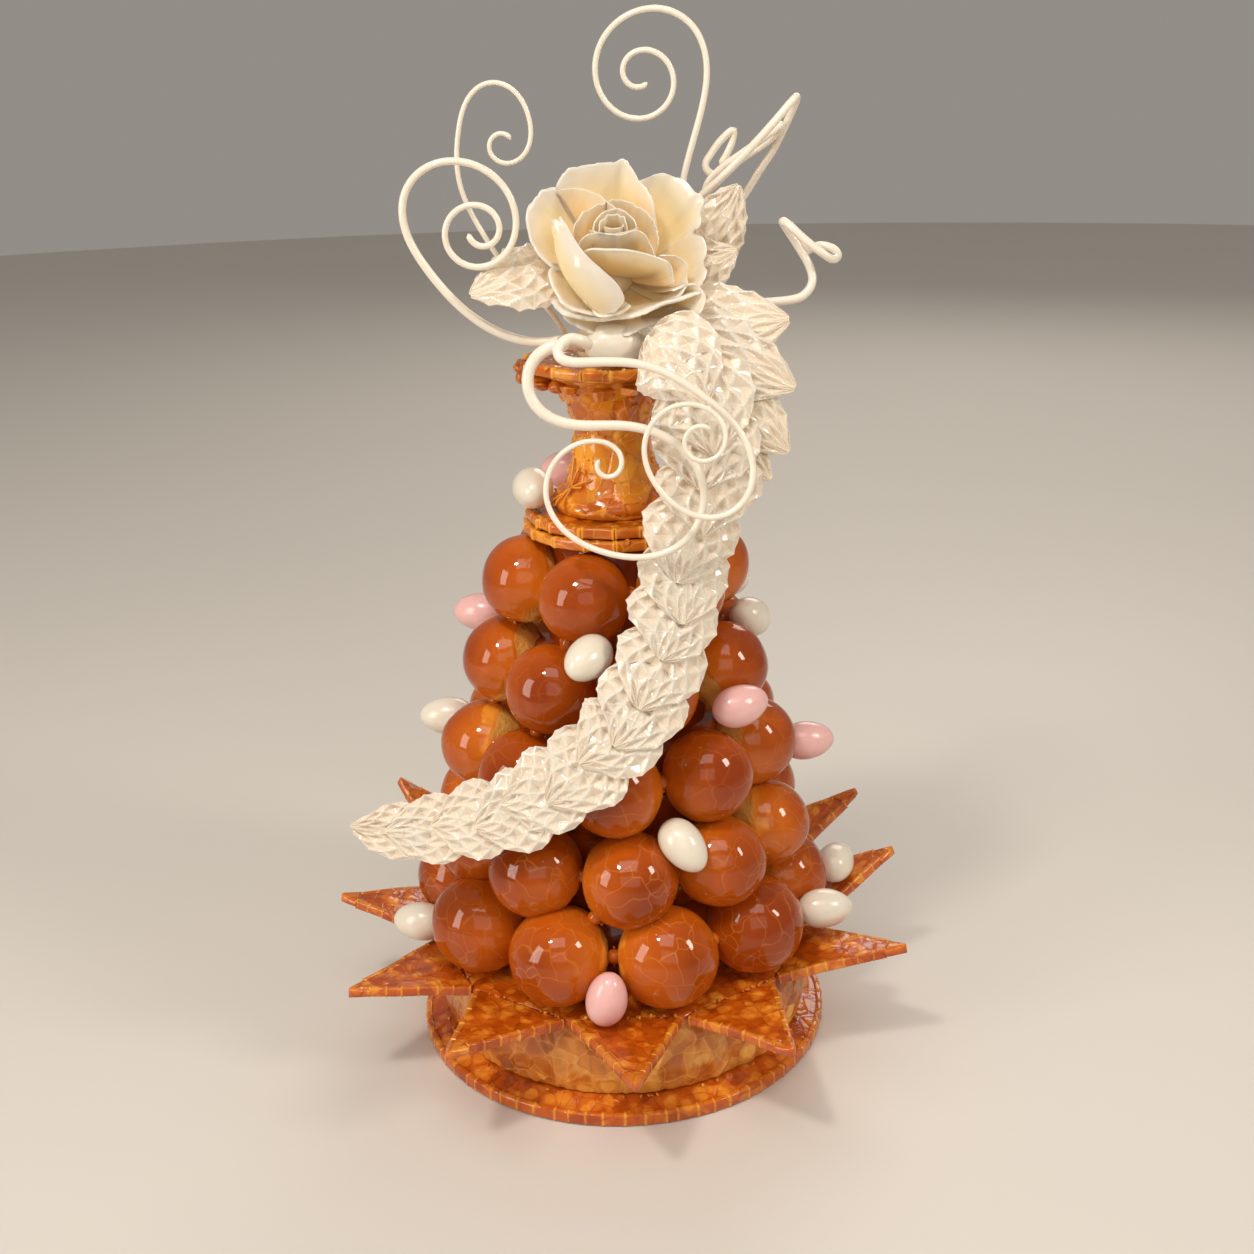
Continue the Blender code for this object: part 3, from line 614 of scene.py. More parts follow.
def addBrickRow(name, points, pitch, width, height, up, seed, finish, closed=False, unevenness=0.06):
    # bricks of uneven length, end to end along a line
    rng = np.random.default_rng(seed + 100)
    path = np.concatenate([points, points[:1]]) if closed else np.asarray(points)
    run = runAlong(path)
    count = max(round(run[-1] / pitch), 2)
    cuts = np.arange(count + 1) + np.pad(rng.uniform(-0.24, 0.24, count - 1), 1)
    cuts = cuts / count * run[-1]
    obj = line(name, placesAt((cuts[1:] + cuts[:-1]) / 2, run, path), closed)
    span = obj.data.attributes.new("span", "FLOAT", "POINT")
    span.data.foreach_set("value", (np.diff(cuts) + 0.3 * mm).astype(np.float32))
    return runTree(obj, brickRowTree, Size=(1, width, height), Up=up, Unevenness=unevenness, Seed=seed,
                   Brick=brick, Material=finishes[finish])


def addDrops(name, places, sizes, seed, finish, kinds=drops, turns=None):
    rng = np.random.default_rng(seed)
    sizes = np.asarray(sizes)
    if sizes.ndim == 1:
        sizes = sizes[:, None] * rng.uniform(0.8, 1.2, (len(sizes), 3))
    if turns is None:
        turns = rng.uniform(-math.pi, math.pi, (len(sizes), 3))
    obj = pointCloud(name, places, sizes, turns)
    return runTree(obj, scatterTree, Pieces=kinds, Seed=seed, Material=finishes[finish])


# stand

stand = dict(
    baseRadius=100 * mm, baseHeight=8.6 * mm, drumRadius=90.7 * mm,
    dishTop=50 * mm, dishThickness=4.4 * mm, dishApothem=88 * mm, flakeSize=9.5 * mm, flakeRise=0.45 * mm,
    rimWidth=3.4 * mm, rimHeight=6.0 * mm, rimLift=0.35 * mm, rimBricks=74, rimDrops=26, footDrops=60,
    points=11, turn=1, reach=142 * mm, pointThickness=4.4 * mm, pointBrick=7.8 * mm, pointRim=2.9 * mm,
    sag=1.1 * mm, sagSize=26 * mm, seamDrops=14, noseStart=0.84, caramelPool=2.2 * mm,
    # height of each tip in mm and its swing in degrees, from the front towards +X
    tips=((55, 1), (55.5, -3), (60.5, 3), (70.5, 2), (85, -14), (88, 0), (90, 0), (92, 6), (59.5, 2),
          (54, 2), (58, 0)),
)


def flakeRelief(points, size, seed, rise):
    # flat flakes packed in clear caramel, with rounded ones lying among them
    near, edge, tone = flakes(points, size, seed)
    _, crack, smallTone = flakes(points + 3 * size, size * 0.5, seed + 50)
    flat = smoothStep(0.0, 0.18, edge)
    oval = smoothStep(0.44, 0.34, near) * (tone > 0.55)
    crumb = smoothStep(0.1, 0.3, crack) * (smallTone > 0.82)
    height = rise * (flat * (0.15 + 0.45 * tone) + 0.6 * oval + 0.4 * crumb * (1 - oval))
    height += 0.5 * rise * softNoise(points, size * 1.6, seed + 9)
    flake = 0.34 + 0.22 * flat * tone + 0.25 * oval + 0.2 * crumb
    return height, {"flake": flake, "tone": smallTone}


def addBaseDisc():
    s = stand
    rim = s["baseRadius"] - 0.75 * s["rimWidth"]
    top = s["baseHeight"] - 0.6 * mm
    # rows of points below and up the side
    under, side = 5, 3
    radii = np.concatenate([np.linspace(20 * mm, rim, under), [rim + 0.4 * mm] * side,
                            np.linspace(rim, s["drumRadius"] - 6 * mm, 26), np.linspace(80 * mm, 20 * mm, 4)])
    onTop = np.arange(len(radii)) >= under + side
    # the top rolls down towards the rim
    roll = top - (top - s["rimHeight"] + 0.3 * mm) * smoothStep(s["drumRadius"] - 4 * mm, rim, radii)
    heights = np.where(onTop, roll, 0)
    heights[under:under + side] = np.linspace(0.2, 0.9, side) * s["rimHeight"]
    points = turned(radii, heights, 720)
    height, values = flakeRelief(points, s["flakeSize"] * 1.1, 3, s["flakeRise"])
    points[..., 2] += np.where(onTop[:, None], height, 0)
    disc = addMesh("baseDisc", closedRings(points, values))
    middle = s["baseRadius"] - s["rimWidth"] / 2
    circle = around(fullTurn(220), middle, s["rimHeight"] / 2 + s["rimLift"])
    rimRow = addBrickRow("baseRim", circle, 2 * math.pi * middle / s["rimBricks"], s["rimWidth"],
                         s["rimHeight"], (0, 0, 1), 5, "nougatine", closed=True, unevenness=0.03)
    settle(joinObjects(disc, rimRow, baseDrops(middle)), "nougatine", "base_disc")


def baseDrops(middle):
    # drops on some of the rim's joints and round the foot of the drum
    s = stand
    rng = np.random.default_rng(8)
    joints = rng.permutation(s["rimBricks"])[:s["rimDrops"]] * 360 / s["rimBricks"]
    onRim = around(joints + rng.uniform(-1, 1, s["rimDrops"]),
                   middle + rng.uniform(-1, 1.5, s["rimDrops"]) * mm, s["rimHeight"] * 0.9)
    atDrum = around(rng.uniform(0, 360, s["footDrops"]), s["drumRadius"] - 1.2 * mm, s["baseHeight"])
    sizes = [rng.uniform(0.4, 0.8, s["rimDrops"]), rng.uniform(0.4, 1.0, s["footDrops"])]
    return addDrops("baseDrops", np.concatenate([onRim, atDrum]), np.concatenate(sizes) * mm, 9, "nougatine")


def sideShare(turn, azimuth, low, high):
    # 1 on the side at an azimuth, fading to 0 on either hand
    return smoothStep(low, high, np.cos(np.radians(turn - azimuth)))[None, :]


def addDrum():
    s = stand
    bottom = s["baseHeight"] + clearance
    top = s["dishTop"] - s["dishThickness"] - clearance
    share = np.linspace(0, 1, 60)
    bow = s["drumRadius"] - 5 * mm + 5 * mm * np.sin(np.clip(share * 2.1 + 0.25, 0, math.pi))
    bow = bow - 4.5 * mm * share ** 5
    radii = np.concatenate([[30 * mm, 60 * mm], bow, [60 * mm, 30 * mm]])
    heights = np.concatenate([[bottom] * 2, bottom + share * (top - bottom), [top] * 2])
    turn = fullTurn(600)
    points = turned(radii, heights, len(turn))
    near, edge, tone = flakes(points * (1, 1, 0.62), 13 * mm, 21)
    web = smoothStep(0.12, 0.0, edge)
    # on the front left the side is drawn into close upright folds, and on the right it swells into lobes
    folds = np.sin(np.radians(turn) * 95 + 5 * softNoise(points, 14 * mm, 12))
    folds = folds * sideShare(turn, -38, 0.55, 0.95)
    lobe, _, lobeTone = flakes(points * (1, 1, 0.55), 12 * mm, 24)
    lobes = np.sqrt(np.maximum(1 - (lobe / 0.62) ** 2, 0)) * sideShare(turn, 62, 0.3, 0.9)
    height = mm * (0.45 * web + 0.9 * (0.5 - near) + 0.28 * folds + 2.0 * lobes)
    height += 0.8 * mm * softNoise(points, 18 * mm, 4)
    inside = (np.arange(len(radii)) > 1) & (np.arange(len(radii)) < len(radii) - 2)
    points += around(turn[None, :], 1, 0) * (height * inside[:, None])[..., None]
    # the lobes on the lit right side are painted lighter, a painted highlight
    flake = 0.42 + 0.15 * web + 0.2 * (tone - 0.5) + 0.4 * lobes * (0.4 + 0.6 * lobeTone)
    settle(addMesh("drum", closedRings(points, {"flake": flake, "tone": tone})), "paleNougatine", "drum")


def addStarDish():
    s = stand
    sector = 360 / s["points"]
    turn = fullTurn(440)
    away = (turn - s["turn"] + sector / 2) % sector - sector / 2
    edge = s["dishApothem"] / np.cos(np.radians(away))
    bottom = s["dishTop"] - s["dishThickness"]
    shares = np.concatenate([np.linspace(0.3, 0.985, 4), [1.0, 1.0], np.linspace(0.985, 0.62, 26),
                             [0.4, 0.25]])
    heights = np.concatenate([np.full(4, bottom), [bottom + 0.8 * mm, s["dishTop"] - 0.8 * mm],
                              np.full(28, s["dishTop"])])
    points = around(turn[None, :], shares[:, None] * edge[None, :], heights[:, None])
    height, values = flakeRelief(points, s["flakeSize"], 4, s["flakeRise"])
    height = np.minimum(height, 0.9 * mm) - 0.3 * mm
    count, ring, level, _, first = tiers[0]
    for i in range(count):
        away = np.linalg.norm(points[..., :2] - around(first + 360 * i / count, ring, level)[:2], axis=-1)
        # caramel pools under each puff
        height = height + s["caramelPool"] * np.exp(-(away / (6 * mm)) ** 2)
    points[..., 2] += np.where(heights[:, None] >= s["dishTop"], height, 0)
    settle(addMesh("starDish", closedRings(points, values)), "nougatine", "star_dish")


def sagging(places, seed, share):
    # the plate sags and waves a little, as poured caramel does
    return stand["sag"] * softNoise(places, stand["sagSize"], seed) * np.sin(math.pi * share) ** 0.5


def starPlate(put, tip, halfWidth, number):
    s = stand
    along = np.linspace(0.0, 1.0, 60)[:, None]
    across = np.linspace(-1, 1, 49)[None, :]
    half = (halfWidth - 0.4 * s["pointRim"]) * (1 - along) + 1.1 * mm * along
    flat = np.stack(np.broadcast_arrays(tip[0] * along + half * across,
                                        -(tip[1] - 0.75 * s["pointThickness"]) * along, 0.0), axis=-1)
    seed = 40 + number
    height, values = flakeRelief(flat + (0, 0, number * 7 * mm), s["flakeSize"] * 0.9, seed, s["flakeRise"])
    wave = sagging(flat, seed, along)
    top, under = flat.copy(), flat.copy()
    top[..., 2] = wave + height - 0.25 * mm
    under[..., 2] = wave - s["pointThickness"] + 0.7 * mm - 0.35 * height
    return addMesh(f"starPoint{number:02d}", shell(put(top), put(under), values))


def starRim(put, up, tip, halfWidth, seed, side):
    edge, rim = stand["pointThickness"] / 2, stand["pointRim"] / 2
    shares = np.linspace(0.02, 0.86, 12)
    outer = np.stack([tip[0] * shares + side * ((halfWidth - rim) * (1 - shares) + 0.2 * edge * shares),
                      -(tip[1] - edge) * shares, 0 * shares - edge], axis=-1)
    outer[:, 2] += sagging(outer, seed, shares)
    return addBrickRow("rim", put(outer), stand["pointBrick"], 2 * rim, 2.1 * edge, up, seed + side,
                       "nougatine", unevenness=0.05)


def starSeam(put, halfWidth, seed):
    rng = np.random.default_rng(seed)
    count = stand["seamDrops"]
    seam = np.stack([rng.uniform(-0.95, 0.95, count) * halfWidth, rng.uniform(-1.2, 0.6, count) * mm,
                     rng.uniform(0.0, 0.5, count) * mm], axis=-1)
    return addDrops("seamDrops", put(seam), rng.uniform(0.4, 1.1, count) * mm, seed, "nougatine")


def starNose(put, tip, halfWidth):
    # the nose is one smooth piece
    start, edge = stand["noseStart"], stand["pointThickness"] / 2
    share = np.linspace(start, 1.0, 16)[:, None]
    turn = fullTurn(16, 2 * math.pi)[None, :]
    blunt = np.sqrt(np.clip(1 - ((share - start) / 0.16) ** 6, 0.02, 1))
    wide = (halfWidth + 0.3 * mm) * (1 - share) + 1.7 * mm * blunt
    shape = np.stack(np.broadcast_arrays(tip[0] * share + wide * rounded(np.cos(turn), 0.7),
                                         -(tip[1] - 0.6 * mm) * share,
                                         -edge + 1.06 * edge * rounded(np.sin(turn), 0.7)), axis=-1)
    # painted highlight and shade: the nose is painted lighter on top and darker underneath
    return addMesh("nose", closedRings(put(shape), {"flake": 0.42 + 0.25 * np.sin(turn), "tone": 0.5}))


def addStarPoint(number, tipHeight, swing):
    s = stand
    sector = 360 / s["points"]
    swing = math.radians(swing)
    run = s["reach"] * math.cos(swing) - s["dishApothem"]
    rise = tipHeight * mm - s["dishTop"]
    tip = np.array((s["reach"] * math.sin(swing), math.hypot(run, rise)))
    halfWidth = s["dishApothem"] * math.tan(math.radians(sector / 2)) - 2 * clearance
    turn = Matrix.Rotation(math.radians(s["turn"] + sector * (number - 1)), 4, "Z")
    tilt = Matrix.Rotation(-math.atan2(rise, run), 4, "X")
    place = np.array(turn @ Matrix.Translation((0, -s["dishApothem"] - clearance, s["dishTop"])) @ tilt)

    def put(points):
        return points @ place[:3, :3].T + place[:3, 3]

    plate = starPlate(put, tip, halfWidth, number)
    rims = [starRim(put, tuple(place[:3, 2]), tip, halfWidth, 40 + number, side) for side in (-1, 1)]
    seam = starSeam(put, halfWidth, 40 + number)
    nose = starNose(put, tip, halfWidth)
    settle(joinObjects(plate, *rims, seam, nose), "nougatine", f"star_point_{number:02d}")


# puffs

# rings of puffs from the bottom up: count, ring radius, height, puff radius, first azimuth
tiers = (
    (10, 79.0 * mm, 73.7 * mm, 23.1 * mm, 15),
    (10, 70.8 * mm, 109.5 * mm, 21.6 * mm, 3),
    (9, 63.5 * mm, 150.2 * mm, 21.1 * mm, -2),
    (7, 52.2 * mm, 190.6 * mm, 20.7 * mm, 17),
    (6, 42.2 * mm, 230.9 * mm, 20.3 * mm, -19),
)
puff = dict(unevenness=0.03, lean=0.008, kinds=6, capAngle=105, capWave=7, capRise=0.02, lip=0.02,
            wrinkle=0.03, capLift=16, capSwing=20, fit=0.985, neck=3.4 * mm,
            web=(1.0, 0.9, 0.6, 0.3, 0.2))           # how strong the web of lines is on each ring


def puffsOf(tier):
    # middle, radius and azimuth of each puff in a ring
    count, ring, height, radius, first = tiers[tier]
    found = []
    for i in range(count):
        size = radius * (1 + puff["unevenness"] * (math.sin(2.4 * i + tier) - 1) / 2)
        middle = around(first + 360 * i / count, ring, height) + (puff["lean"] * height, 0, 0)
        found.append((middle, size, first + 360 * i / count))
    return found


def makePuffKinds():
    # choux buns of radius 1, dipped in caramel as far as an uneven line round their middle
    kinds = bpy.data.collections.new("puffKinds")
    ball = sphereRings(46, 60)
    polar = np.degrees(np.arccos(np.clip(ball[..., 2], -1, 1)))
    turn = np.arctan2(ball[..., 1], ball[..., 0])
    for kind in range(puff["kinds"]):
        wave = np.sin(2 * turn + kind) + 0.6 * np.sin(3 * turn + 2.1 * kind) + 0.35 * np.sin(7 * turn + kind)
        line = puff["capAngle"] + puff["capWave"] * wave
        cap = smoothStep(1.6, -1.6, polar - line)
        body = 1 + 0.03 * softNoise(ball, 0.9, 60 + kind) - 0.02 * ball[..., 2] ** 2
        lip = puff["lip"] * np.exp(-((polar - line + 3.5) / 3) ** 2)
        folds = np.abs(softNoise(ball * (1, 1, 0.35), 0.22, 80 + kind))
        folds = folds + 0.5 * np.abs(softNoise(ball, 0.1, 90 + kind))
        smooth = 0.012 * softNoise(ball, 0.5, 70 + kind)
        bare = (1 - cap) * puff["wrinkle"] * (0.9 - 1.6 * folds)
        radius = body + cap * (puff["capRise"] + smooth) + lip - bare
        depth = np.clip((line - polar) / line, 0, 1)
        part = closedRings(ball * radius[..., None], {"cap": cap, "depth": depth})
        kinds.objects.link(addMesh(f"puffKind{kind}", part, linked=False))
    return kinds


def contacts(tier):
    # where this ring's puffs meet each other and the ring above: the middle, the direction and the gap
    own = puffsOf(tier)
    above = puffsOf(tier + 1) if tier + 1 < len(tiers) else []
    found = []
    for i, (middle, size, _) in enumerate(own):
        for other, otherSize, _ in [own[(i + 1) % len(own)], *above]:
            apart = other - middle
            length = np.linalg.norm(apart)
            if length < size + otherSize + 4 * mm:
                gap = length - size - otherSize
                found.append((middle + apart * (size + gap / 2) / length, apart / length, gap))
    return found


def fillAttribute(obj, key, value):
    made = obj.data.attributes.new(key, "FLOAT", "POINT")
    made.data.foreach_set("value", np.full(len(obj.data.vertices), value, np.float32))


def puffRing(tier, kinds, rng):
    places, sizes, turns = [], [], []
    for middle, size, azimuth in puffsOf(tier):
        facing = around(azimuth + rng.uniform(-1, 1) * puff["capSwing"], 1,
                        math.tan(math.radians(puff["capLift"] + rng.uniform(-12, 12))))
        spin = Matrix.Rotation(rng.uniform(0, 6.28), 3, "Z")
        turn = Vector(facing).to_track_quat("Z", "Y").to_matrix() @ spin
        places.append(middle)
        sizes.append((size * puff["fit"],) * 3)
        turns.append(turn.to_euler())
    ring = runTree(pointCloud(f"puffTier{tier + 1}", places, sizes, turns), scatterTree, Pieces=kinds,
                   Seed=30 + tier, Material=finishes["puff"])
    fillAttribute(ring, "web", puff["web"][tier])
    return ring


def towerCore(tier):
    # the middle of the tower, choux pressed together
    _, ring, height, radius, _ = tiers[tier]
    inner = ring - 0.45 * radius
    low = height - 0.99 * radius if tier == 0 else tiers[tier - 1][2]
    high = pedestal["footBottom"] - clearance if tier == len(tiers) - 1 else height + 0.55 * radius
    turn = fullTurn(72)[None, :]
    share = np.linspace(0, 1, 12)[:, None]
    core = around(turn, inner * (0.9 + 0.1 * np.sin(math.pi * share)), low + share * (high - low))
    core += (puff["lean"] * height, 0, 0)
    core += 1.5 * mm * softNoise(core, 9 * mm, 5 + tier)[..., None] * around(turn, 1, 0)
    # painted the deepest caramel colour all over, painted shade in the gaps between the puffs
    return addMesh("middle", closedRings(core, {"cap": 1, "depth": 1.6}))


def necksAndBeads(tier, rng):
    # caramel that runs between the puffs, with small beads at its edges
    spread = puff["neck"]
    ball = sphereRings(8, 14)
    necks, beads, sizes = [], [], []
    for place, along, gap in contacts(tier):
        outward = unit(place * (1, 1, 0.25))
        middle = place + outward * 0.2 * spread
        across = unit(np.cross(along, outward))
        waist = (ball[..., [0]] * spread * across + ball[..., [1]] * spread * unit(np.cross(across, along))
                 + ball[..., [2]] * (max(gap, 0) / 2 + 2.6 * mm) * along)
        # the necks are painted a deeper caramel, painted shade in the crevices between the puffs
        necks.append(closedRings(middle + waist, {"cap": 1, "depth": 0.4}))
        for _ in range(rng.integers(2, 5)):
            swing = rng.uniform(-1.3, 1.3)
            beads.append(middle + spread * 1.25 * (math.cos(swing) * outward + math.sin(swing) * across)
                         - 2 * mm * outward)
            sizes.append(rng.uniform(0.35, 1.0) * mm)
    neckPart = addMesh("necks", joined(necks))
    beadPart = addDrops("beads", beads, sizes, 70 + tier, "puff")
    fillAttribute(beadPart, "cap", 1.0)
    fillAttribute(beadPart, "depth", 0.05)
    return neckPart, beadPart


def addPuffTier(tier, kinds):
    rng = np.random.default_rng(100 + tier)
    ring = puffRing(tier, kinds, rng)
    settle(joinObjects(ring, towerCore(tier), *necksAndBeads(tier, rng)), "puff", f"puff_tier_{tier + 1}")


# pedestal

pedestal = dict(
    middle=(2.0 * mm, 0, 0), footBottom=252.0 * mm, footRadius=41.6 * mm, footThickness=4.9 * mm,
    brick=13.5 * mm, columnTop=323.4 * mm, crownTop=330.0 * mm, crownRadius=41.6 * mm,
    # radius and height above the foot of the turned column, in mm
    column=((26, 0), (28, 3), (26.5, 7), (22, 11), (18.5, 22), (16.6, 36), (18.5, 46), (26, 56.4),
            (29, 60.4)),
    rimDrops=40, flareSpikes=50, spikes=40, drops=70,
    # threads of caramel run together low on the left: the knot and their far ends, as azimuth and mm up
    knot=(-55, 12), threads=((-78, 2), (-66, 3), (-50, 3), (-38, 13), (-62, 25), (-47, 22), (-28, 17)),
)
discTurn = fullTurn(220)


def addDisc(name, reach, bottom, top, seed, rimHeight=None):
    # a slab with flakes on its faces and a row of bricks for a rim; `reach` is its radius at each angle
    shares = np.concatenate([[0.3, 0.6, 0.8, 0.97], [1.0, 1.0], np.linspace(0.985, 0.4, 20), [0.2]])
    heights = np.concatenate([np.full(4, bottom + 0.4 * mm), [bottom + 1.2 * mm, top - 1.2 * mm],
                              np.full(21, top - 0.6 * mm)])
    points = around(discTurn[None, :], shares[:, None] * (reach - 3.6 * mm)[None, :], heights[:, None])
    height, values = flakeRelief(points, 8 * mm, seed, 0.7 * mm)
    points[..., 2] += np.where(heights[:, None] >= top - mm, height, 0)
    slab = addMesh(name, closedRings(points + np.array(pedestal["middle"]), values))
    tall = rimHeight or 0.94 * (top - bottom)
    line = around(discTurn, reach - 2.5 * mm, top - tall / 2) + pedestal["middle"]
    bricks = addBrickRow("rim", line, pedestal["brick"], 4.4 * mm, tall, (0, 0, 1), seed, "amber",
                         closed=True, unevenness=0.08)
    rng = np.random.default_rng(seed)
    count = pedestal["rimDrops"]
    angle = rng.uniform(0, 360, count)
    edge = np.interp(angle, discTurn, reach, period=360)
    places = around(angle, edge - rng.uniform(0.3, 3.5, count) * mm, top - 0.3 * mm)
    dots = addDrops("dots", places + pedestal["middle"], rng.uniform(0.4, 1.2, count) * mm, seed, "amber")
    return joinObjects(slab, bricks, dots)


def addFeet():
    p = pedestal
    thick = p["footThickness"]
    lower, upper = p["footBottom"], p["footBottom"] + thick + clearance
    for name, radius, bottom, seed, node in (
            ("footLower", p["footRadius"], lower, 61, "pedestal_foot_lower"),
            ("footUpper", p["footRadius"] - 2.2 * mm, upper, 62, "pedestal_foot_upper")):
        settle(addDisc(name, radius + 0 * discTurn, bottom, bottom + thick, seed), "amber", node)


def columnDrops(points, base):
    # large clear drops set round the neck: 1 at the middle of a drop and 0 at its edge
    lens = np.zeros(points.shape[:-1])
    for k, azimuth in enumerate(range(-90, 270, 38)):
        middle = around(azimuth, 18.5 * mm, base + (43 + 3 * math.sin(2.2 * k)) * mm)
        away = np.linalg.norm(points - middle, axis=-1)
        lens = np.maximum(lens, 1 - (away / ((5.2 + math.sin(k)) * mm)) ** 2)
    return lens


def columnBody(base, heights, radii):
    points = turned(radii, base + heights, 230)
    near, edge, tone = flakes(points, 13 * mm, 71)
    small, _, smallTone = flakes(points, 5.5 * mm, 72)
    plates = 1.5 * mm * tone + 1.0 * mm * np.maximum(0.55 - near, 0) - 0.5 * mm * smoothStep(0.07, 0, edge)
    lumps = 0.8 * mm * smoothStep(0.55, 0.2, small) * (smallTone > 0.72)
    lens = columnDrops(points, base)
    ring = smoothStep(0.22, 0.0, np.abs(lens - 0.12))
    lens = np.sqrt(np.maximum(lens, 0))
    ends = np.minimum(heights, heights[-1] - heights)[:, None]
    height = plates * (1 - 0.7 * lens) + lumps * (1 - lens) + 1.6 * mm * lens - 0.9 * mm
    height = (height + 0.5 * mm * softNoise(points, 7 * mm, 8)) * smoothStep(0, 2 * mm, ends)
    points += around(fullTurn(230)[None, :], 1, 0) * height[..., None]
    points = points + np.array(pedestal["middle"])
    threads = smoothStep(0.045, 0, edge)
    flake = 0.38 + 0.30 * tone + 0.25 * smoothStep(0.5, 0.2, near) + 0.3 * (lumps > 0.3 * mm)
    flake = (flake + 0.6 * threads * (tone > 0.5)) * (1 - 0.6 * lens) + 0.3 * lens + 0.25 * ring
    rings = np.concatenate([[points[0] * (0.5, 0.5, 1)], points, [points[-1] * (0.5, 0.5, 1)]])
    flake = np.concatenate([flake[:1], flake, flake[-1:]])
    tone = np.concatenate([tone[:1], tone, tone[-1:]])
    return addMesh("column", closedRings(rings, {"flake": flake, "tone": tone}))


def columnSpikes(rng, base, heights, radii):
    # thin points of caramel stand off the flare, most of them on the right
    p = pedestal
    flare, rest = p["flareSpikes"], p["spikes"]
    count = flare + rest
    angle = np.concatenate([rng.uniform(50, 120, flare), rng.uniform(-180, 180, rest)])
    level = np.concatenate([rng.uniform(0.62, 0.97, flare), rng.uniform(0.05, 0.98, rest)]) * heights[-1]
    out = np.interp(level, heights, radii)
    places = around(angle, out - 0.2 * mm, base + level) + p["middle"]
    turns = []
    for azimuth in angle:
        facing = around(azimuth + rng.uniform(-20, 20), 1, rng.uniform(-0.9, 0.5))
        turns.append(Vector(facing).to_track_quat("Z", "Y").to_euler())
    long = rng.uniform(1.2, 3.4, count)
    sizes = np.stack([rng.uniform(0.8, 1.6, count), rng.uniform(0.8, 1.6, count), long], axis=-1) * mm
    return addDrops("spikes", places, sizes, 74, "amber", spikes, turns)


def columnDots(rng, base, heights, radii):
    count = pedestal["drops"]
    angle = rng.uniform(-180, 180, count)
    level = rng.uniform(0.04, 0.96, count) * heights[-1]
    places = around(angle, np.interp(level, heights, radii) + 0.6 * mm, base + level) + pedestal["middle"]
    return addDrops("dots", places, rng.uniform(0.4, 1.5, count) * mm, 75, "amber")


def columnThreads(base, heights, radii):
    threads = []
    steps = np.linspace(0, 1, 9)
    azimuth, level = pedestal["knot"]
    for endAzimuth, endLevel in pedestal["threads"]:
        turn = azimuth + (endAzimuth - azimuth) * steps
        rise = (level + (endLevel - level) * steps) * mm
        reach = np.interp(rise, heights, radii) + 1.3 * mm + 0.5 * mm * np.sin(math.pi * steps)
        path = around(turn, reach, base + rise) + pedestal["middle"]
        points, faces, values = rodPart(path, 0.5 * mm, sides=8)
        threads.append((points, faces, {**values, "flake": np.full(len(points), 0.95)}))
    return addMesh("threads", joined(threads))


def addColumn():
    p = pedestal
    base = p["footBottom"] + 2 * (p["footThickness"] + clearance)
    table = np.array(p["column"]) * mm
    heights = np.linspace(0, p["columnTop"] - base, 110)
    radii = np.interp(heights, table[:, 1], table[:, 0])
    radii = np.convolve(np.pad(radii, 3, mode="edge"), np.ones(7) / 7, mode="valid")
    body = columnBody(base, heights, radii)
    rng = np.random.default_rng(73)
    pieces = [columnSpikes(rng, base, heights, radii), columnDots(rng, base, heights, radii),
              columnThreads(base, heights, radii)]
    settle(joinObjects(body, *pieces), "amber", "pedestal_column")


def crownOutline(turn):
    # a snapped edge: straight breaks between corners at uneven steps
    corners = np.array([0, 38, 75, 118, 160, 205, 240, 283, 322, 360])
    reach = pedestal["crownRadius"] - np.array([1.0, 3.2, 0.8, 2.5, 1.2, 3.4, 1.4, 0.2, 2.6, 1.0]) * mm
    points = around(corners, reach, 0)[:, :2]
    found = np.zeros(len(turn))
    for (ax, ay), (bx, by), low, high in zip(points, points[1:], corners, corners[1:]):
        share = np.clip((turn - low) / (high - low), 0, 1)
        straight = np.hypot(ax + (bx - ax) * share, ay + (by - ay) * share)
        found = np.where((turn >= low) & (turn <= high), straight, found)
    return found


# broken slivers under the crown: azimuth, then reach, size and drop in mm, the largest at the front
slivers = (
    (-62, 33, 6.5, 4.4), (-35, 31, 6, 5.5), (-8, 31, 7, 8.0), (14, 32, 7, 5.5), (40, 32, 6, 5.0),
    (75, 34, 6, 4.0), (120, 33, 6, 5.0), (165, 34, 7, 4.0), (205, 33, 6, 5.5), (250, 34, 6, 4.0),
)
# two rounded knobs off its left end and lumps in the corner under its rim: azimuth, then reach, level
# and half sizes in mm
knobs = (
    (-82, 39.3, 1.5, (3.6, 3.4, 3.0)), (-86, 38.4, -3.4, (3.6, 3.4, 3.3)), (-76, 36, -1.0, (4.5, 4, 3)),
    (-68, 32, -4.5, (4.5, 4, 3.2)), (-52, 29.5, -5.0, (4, 3.6, 3)), (-88, 33, -5.5, (4, 4, 3)),
)


def crownSlivers(bottom):
    shards = []
    rng = np.random.default_rng(77)
    for azimuth, reach, size, drop in slivers:
        middle = around(azimuth, reach * mm, bottom - drop * 0.35 * mm) + pedestal["middle"]
        corners = []
        for level, k in itertools.product((0, 1), range(5)):
            angle = azimuth + 72 * k + rng.uniform(-20, 20)
            spread = size * rng.uniform(0.6, 1.0) * mm * (1 - 0.45 * level)
            fall = -level * drop * 0.6 * mm + rng.uniform(-0.5, 0.5) * mm
            corners.append(middle + around(angle, spread, fall))
        shards.append(closedRings(np.array(corners).reshape(2, 5, 3),
                                  {"flake": rng.uniform(0.25, 0.7), "tone": rng.uniform(0, 1)}))
    made = addMesh("shards", joined(shards))
    made.data.set_sharp_from_angle(angle=math.radians(25))
    bevel = made.modifiers.new("worn", "BEVEL")
    bevel.width = 0.5 * mm
    bevel.segments = 2
    graph = bpy.context.evaluated_depsgraph_get()
    worn = bpy.data.meshes.new_from_object(made.evaluated_get(graph))
    made.modifiers.clear()
    made.data = worn
    return made


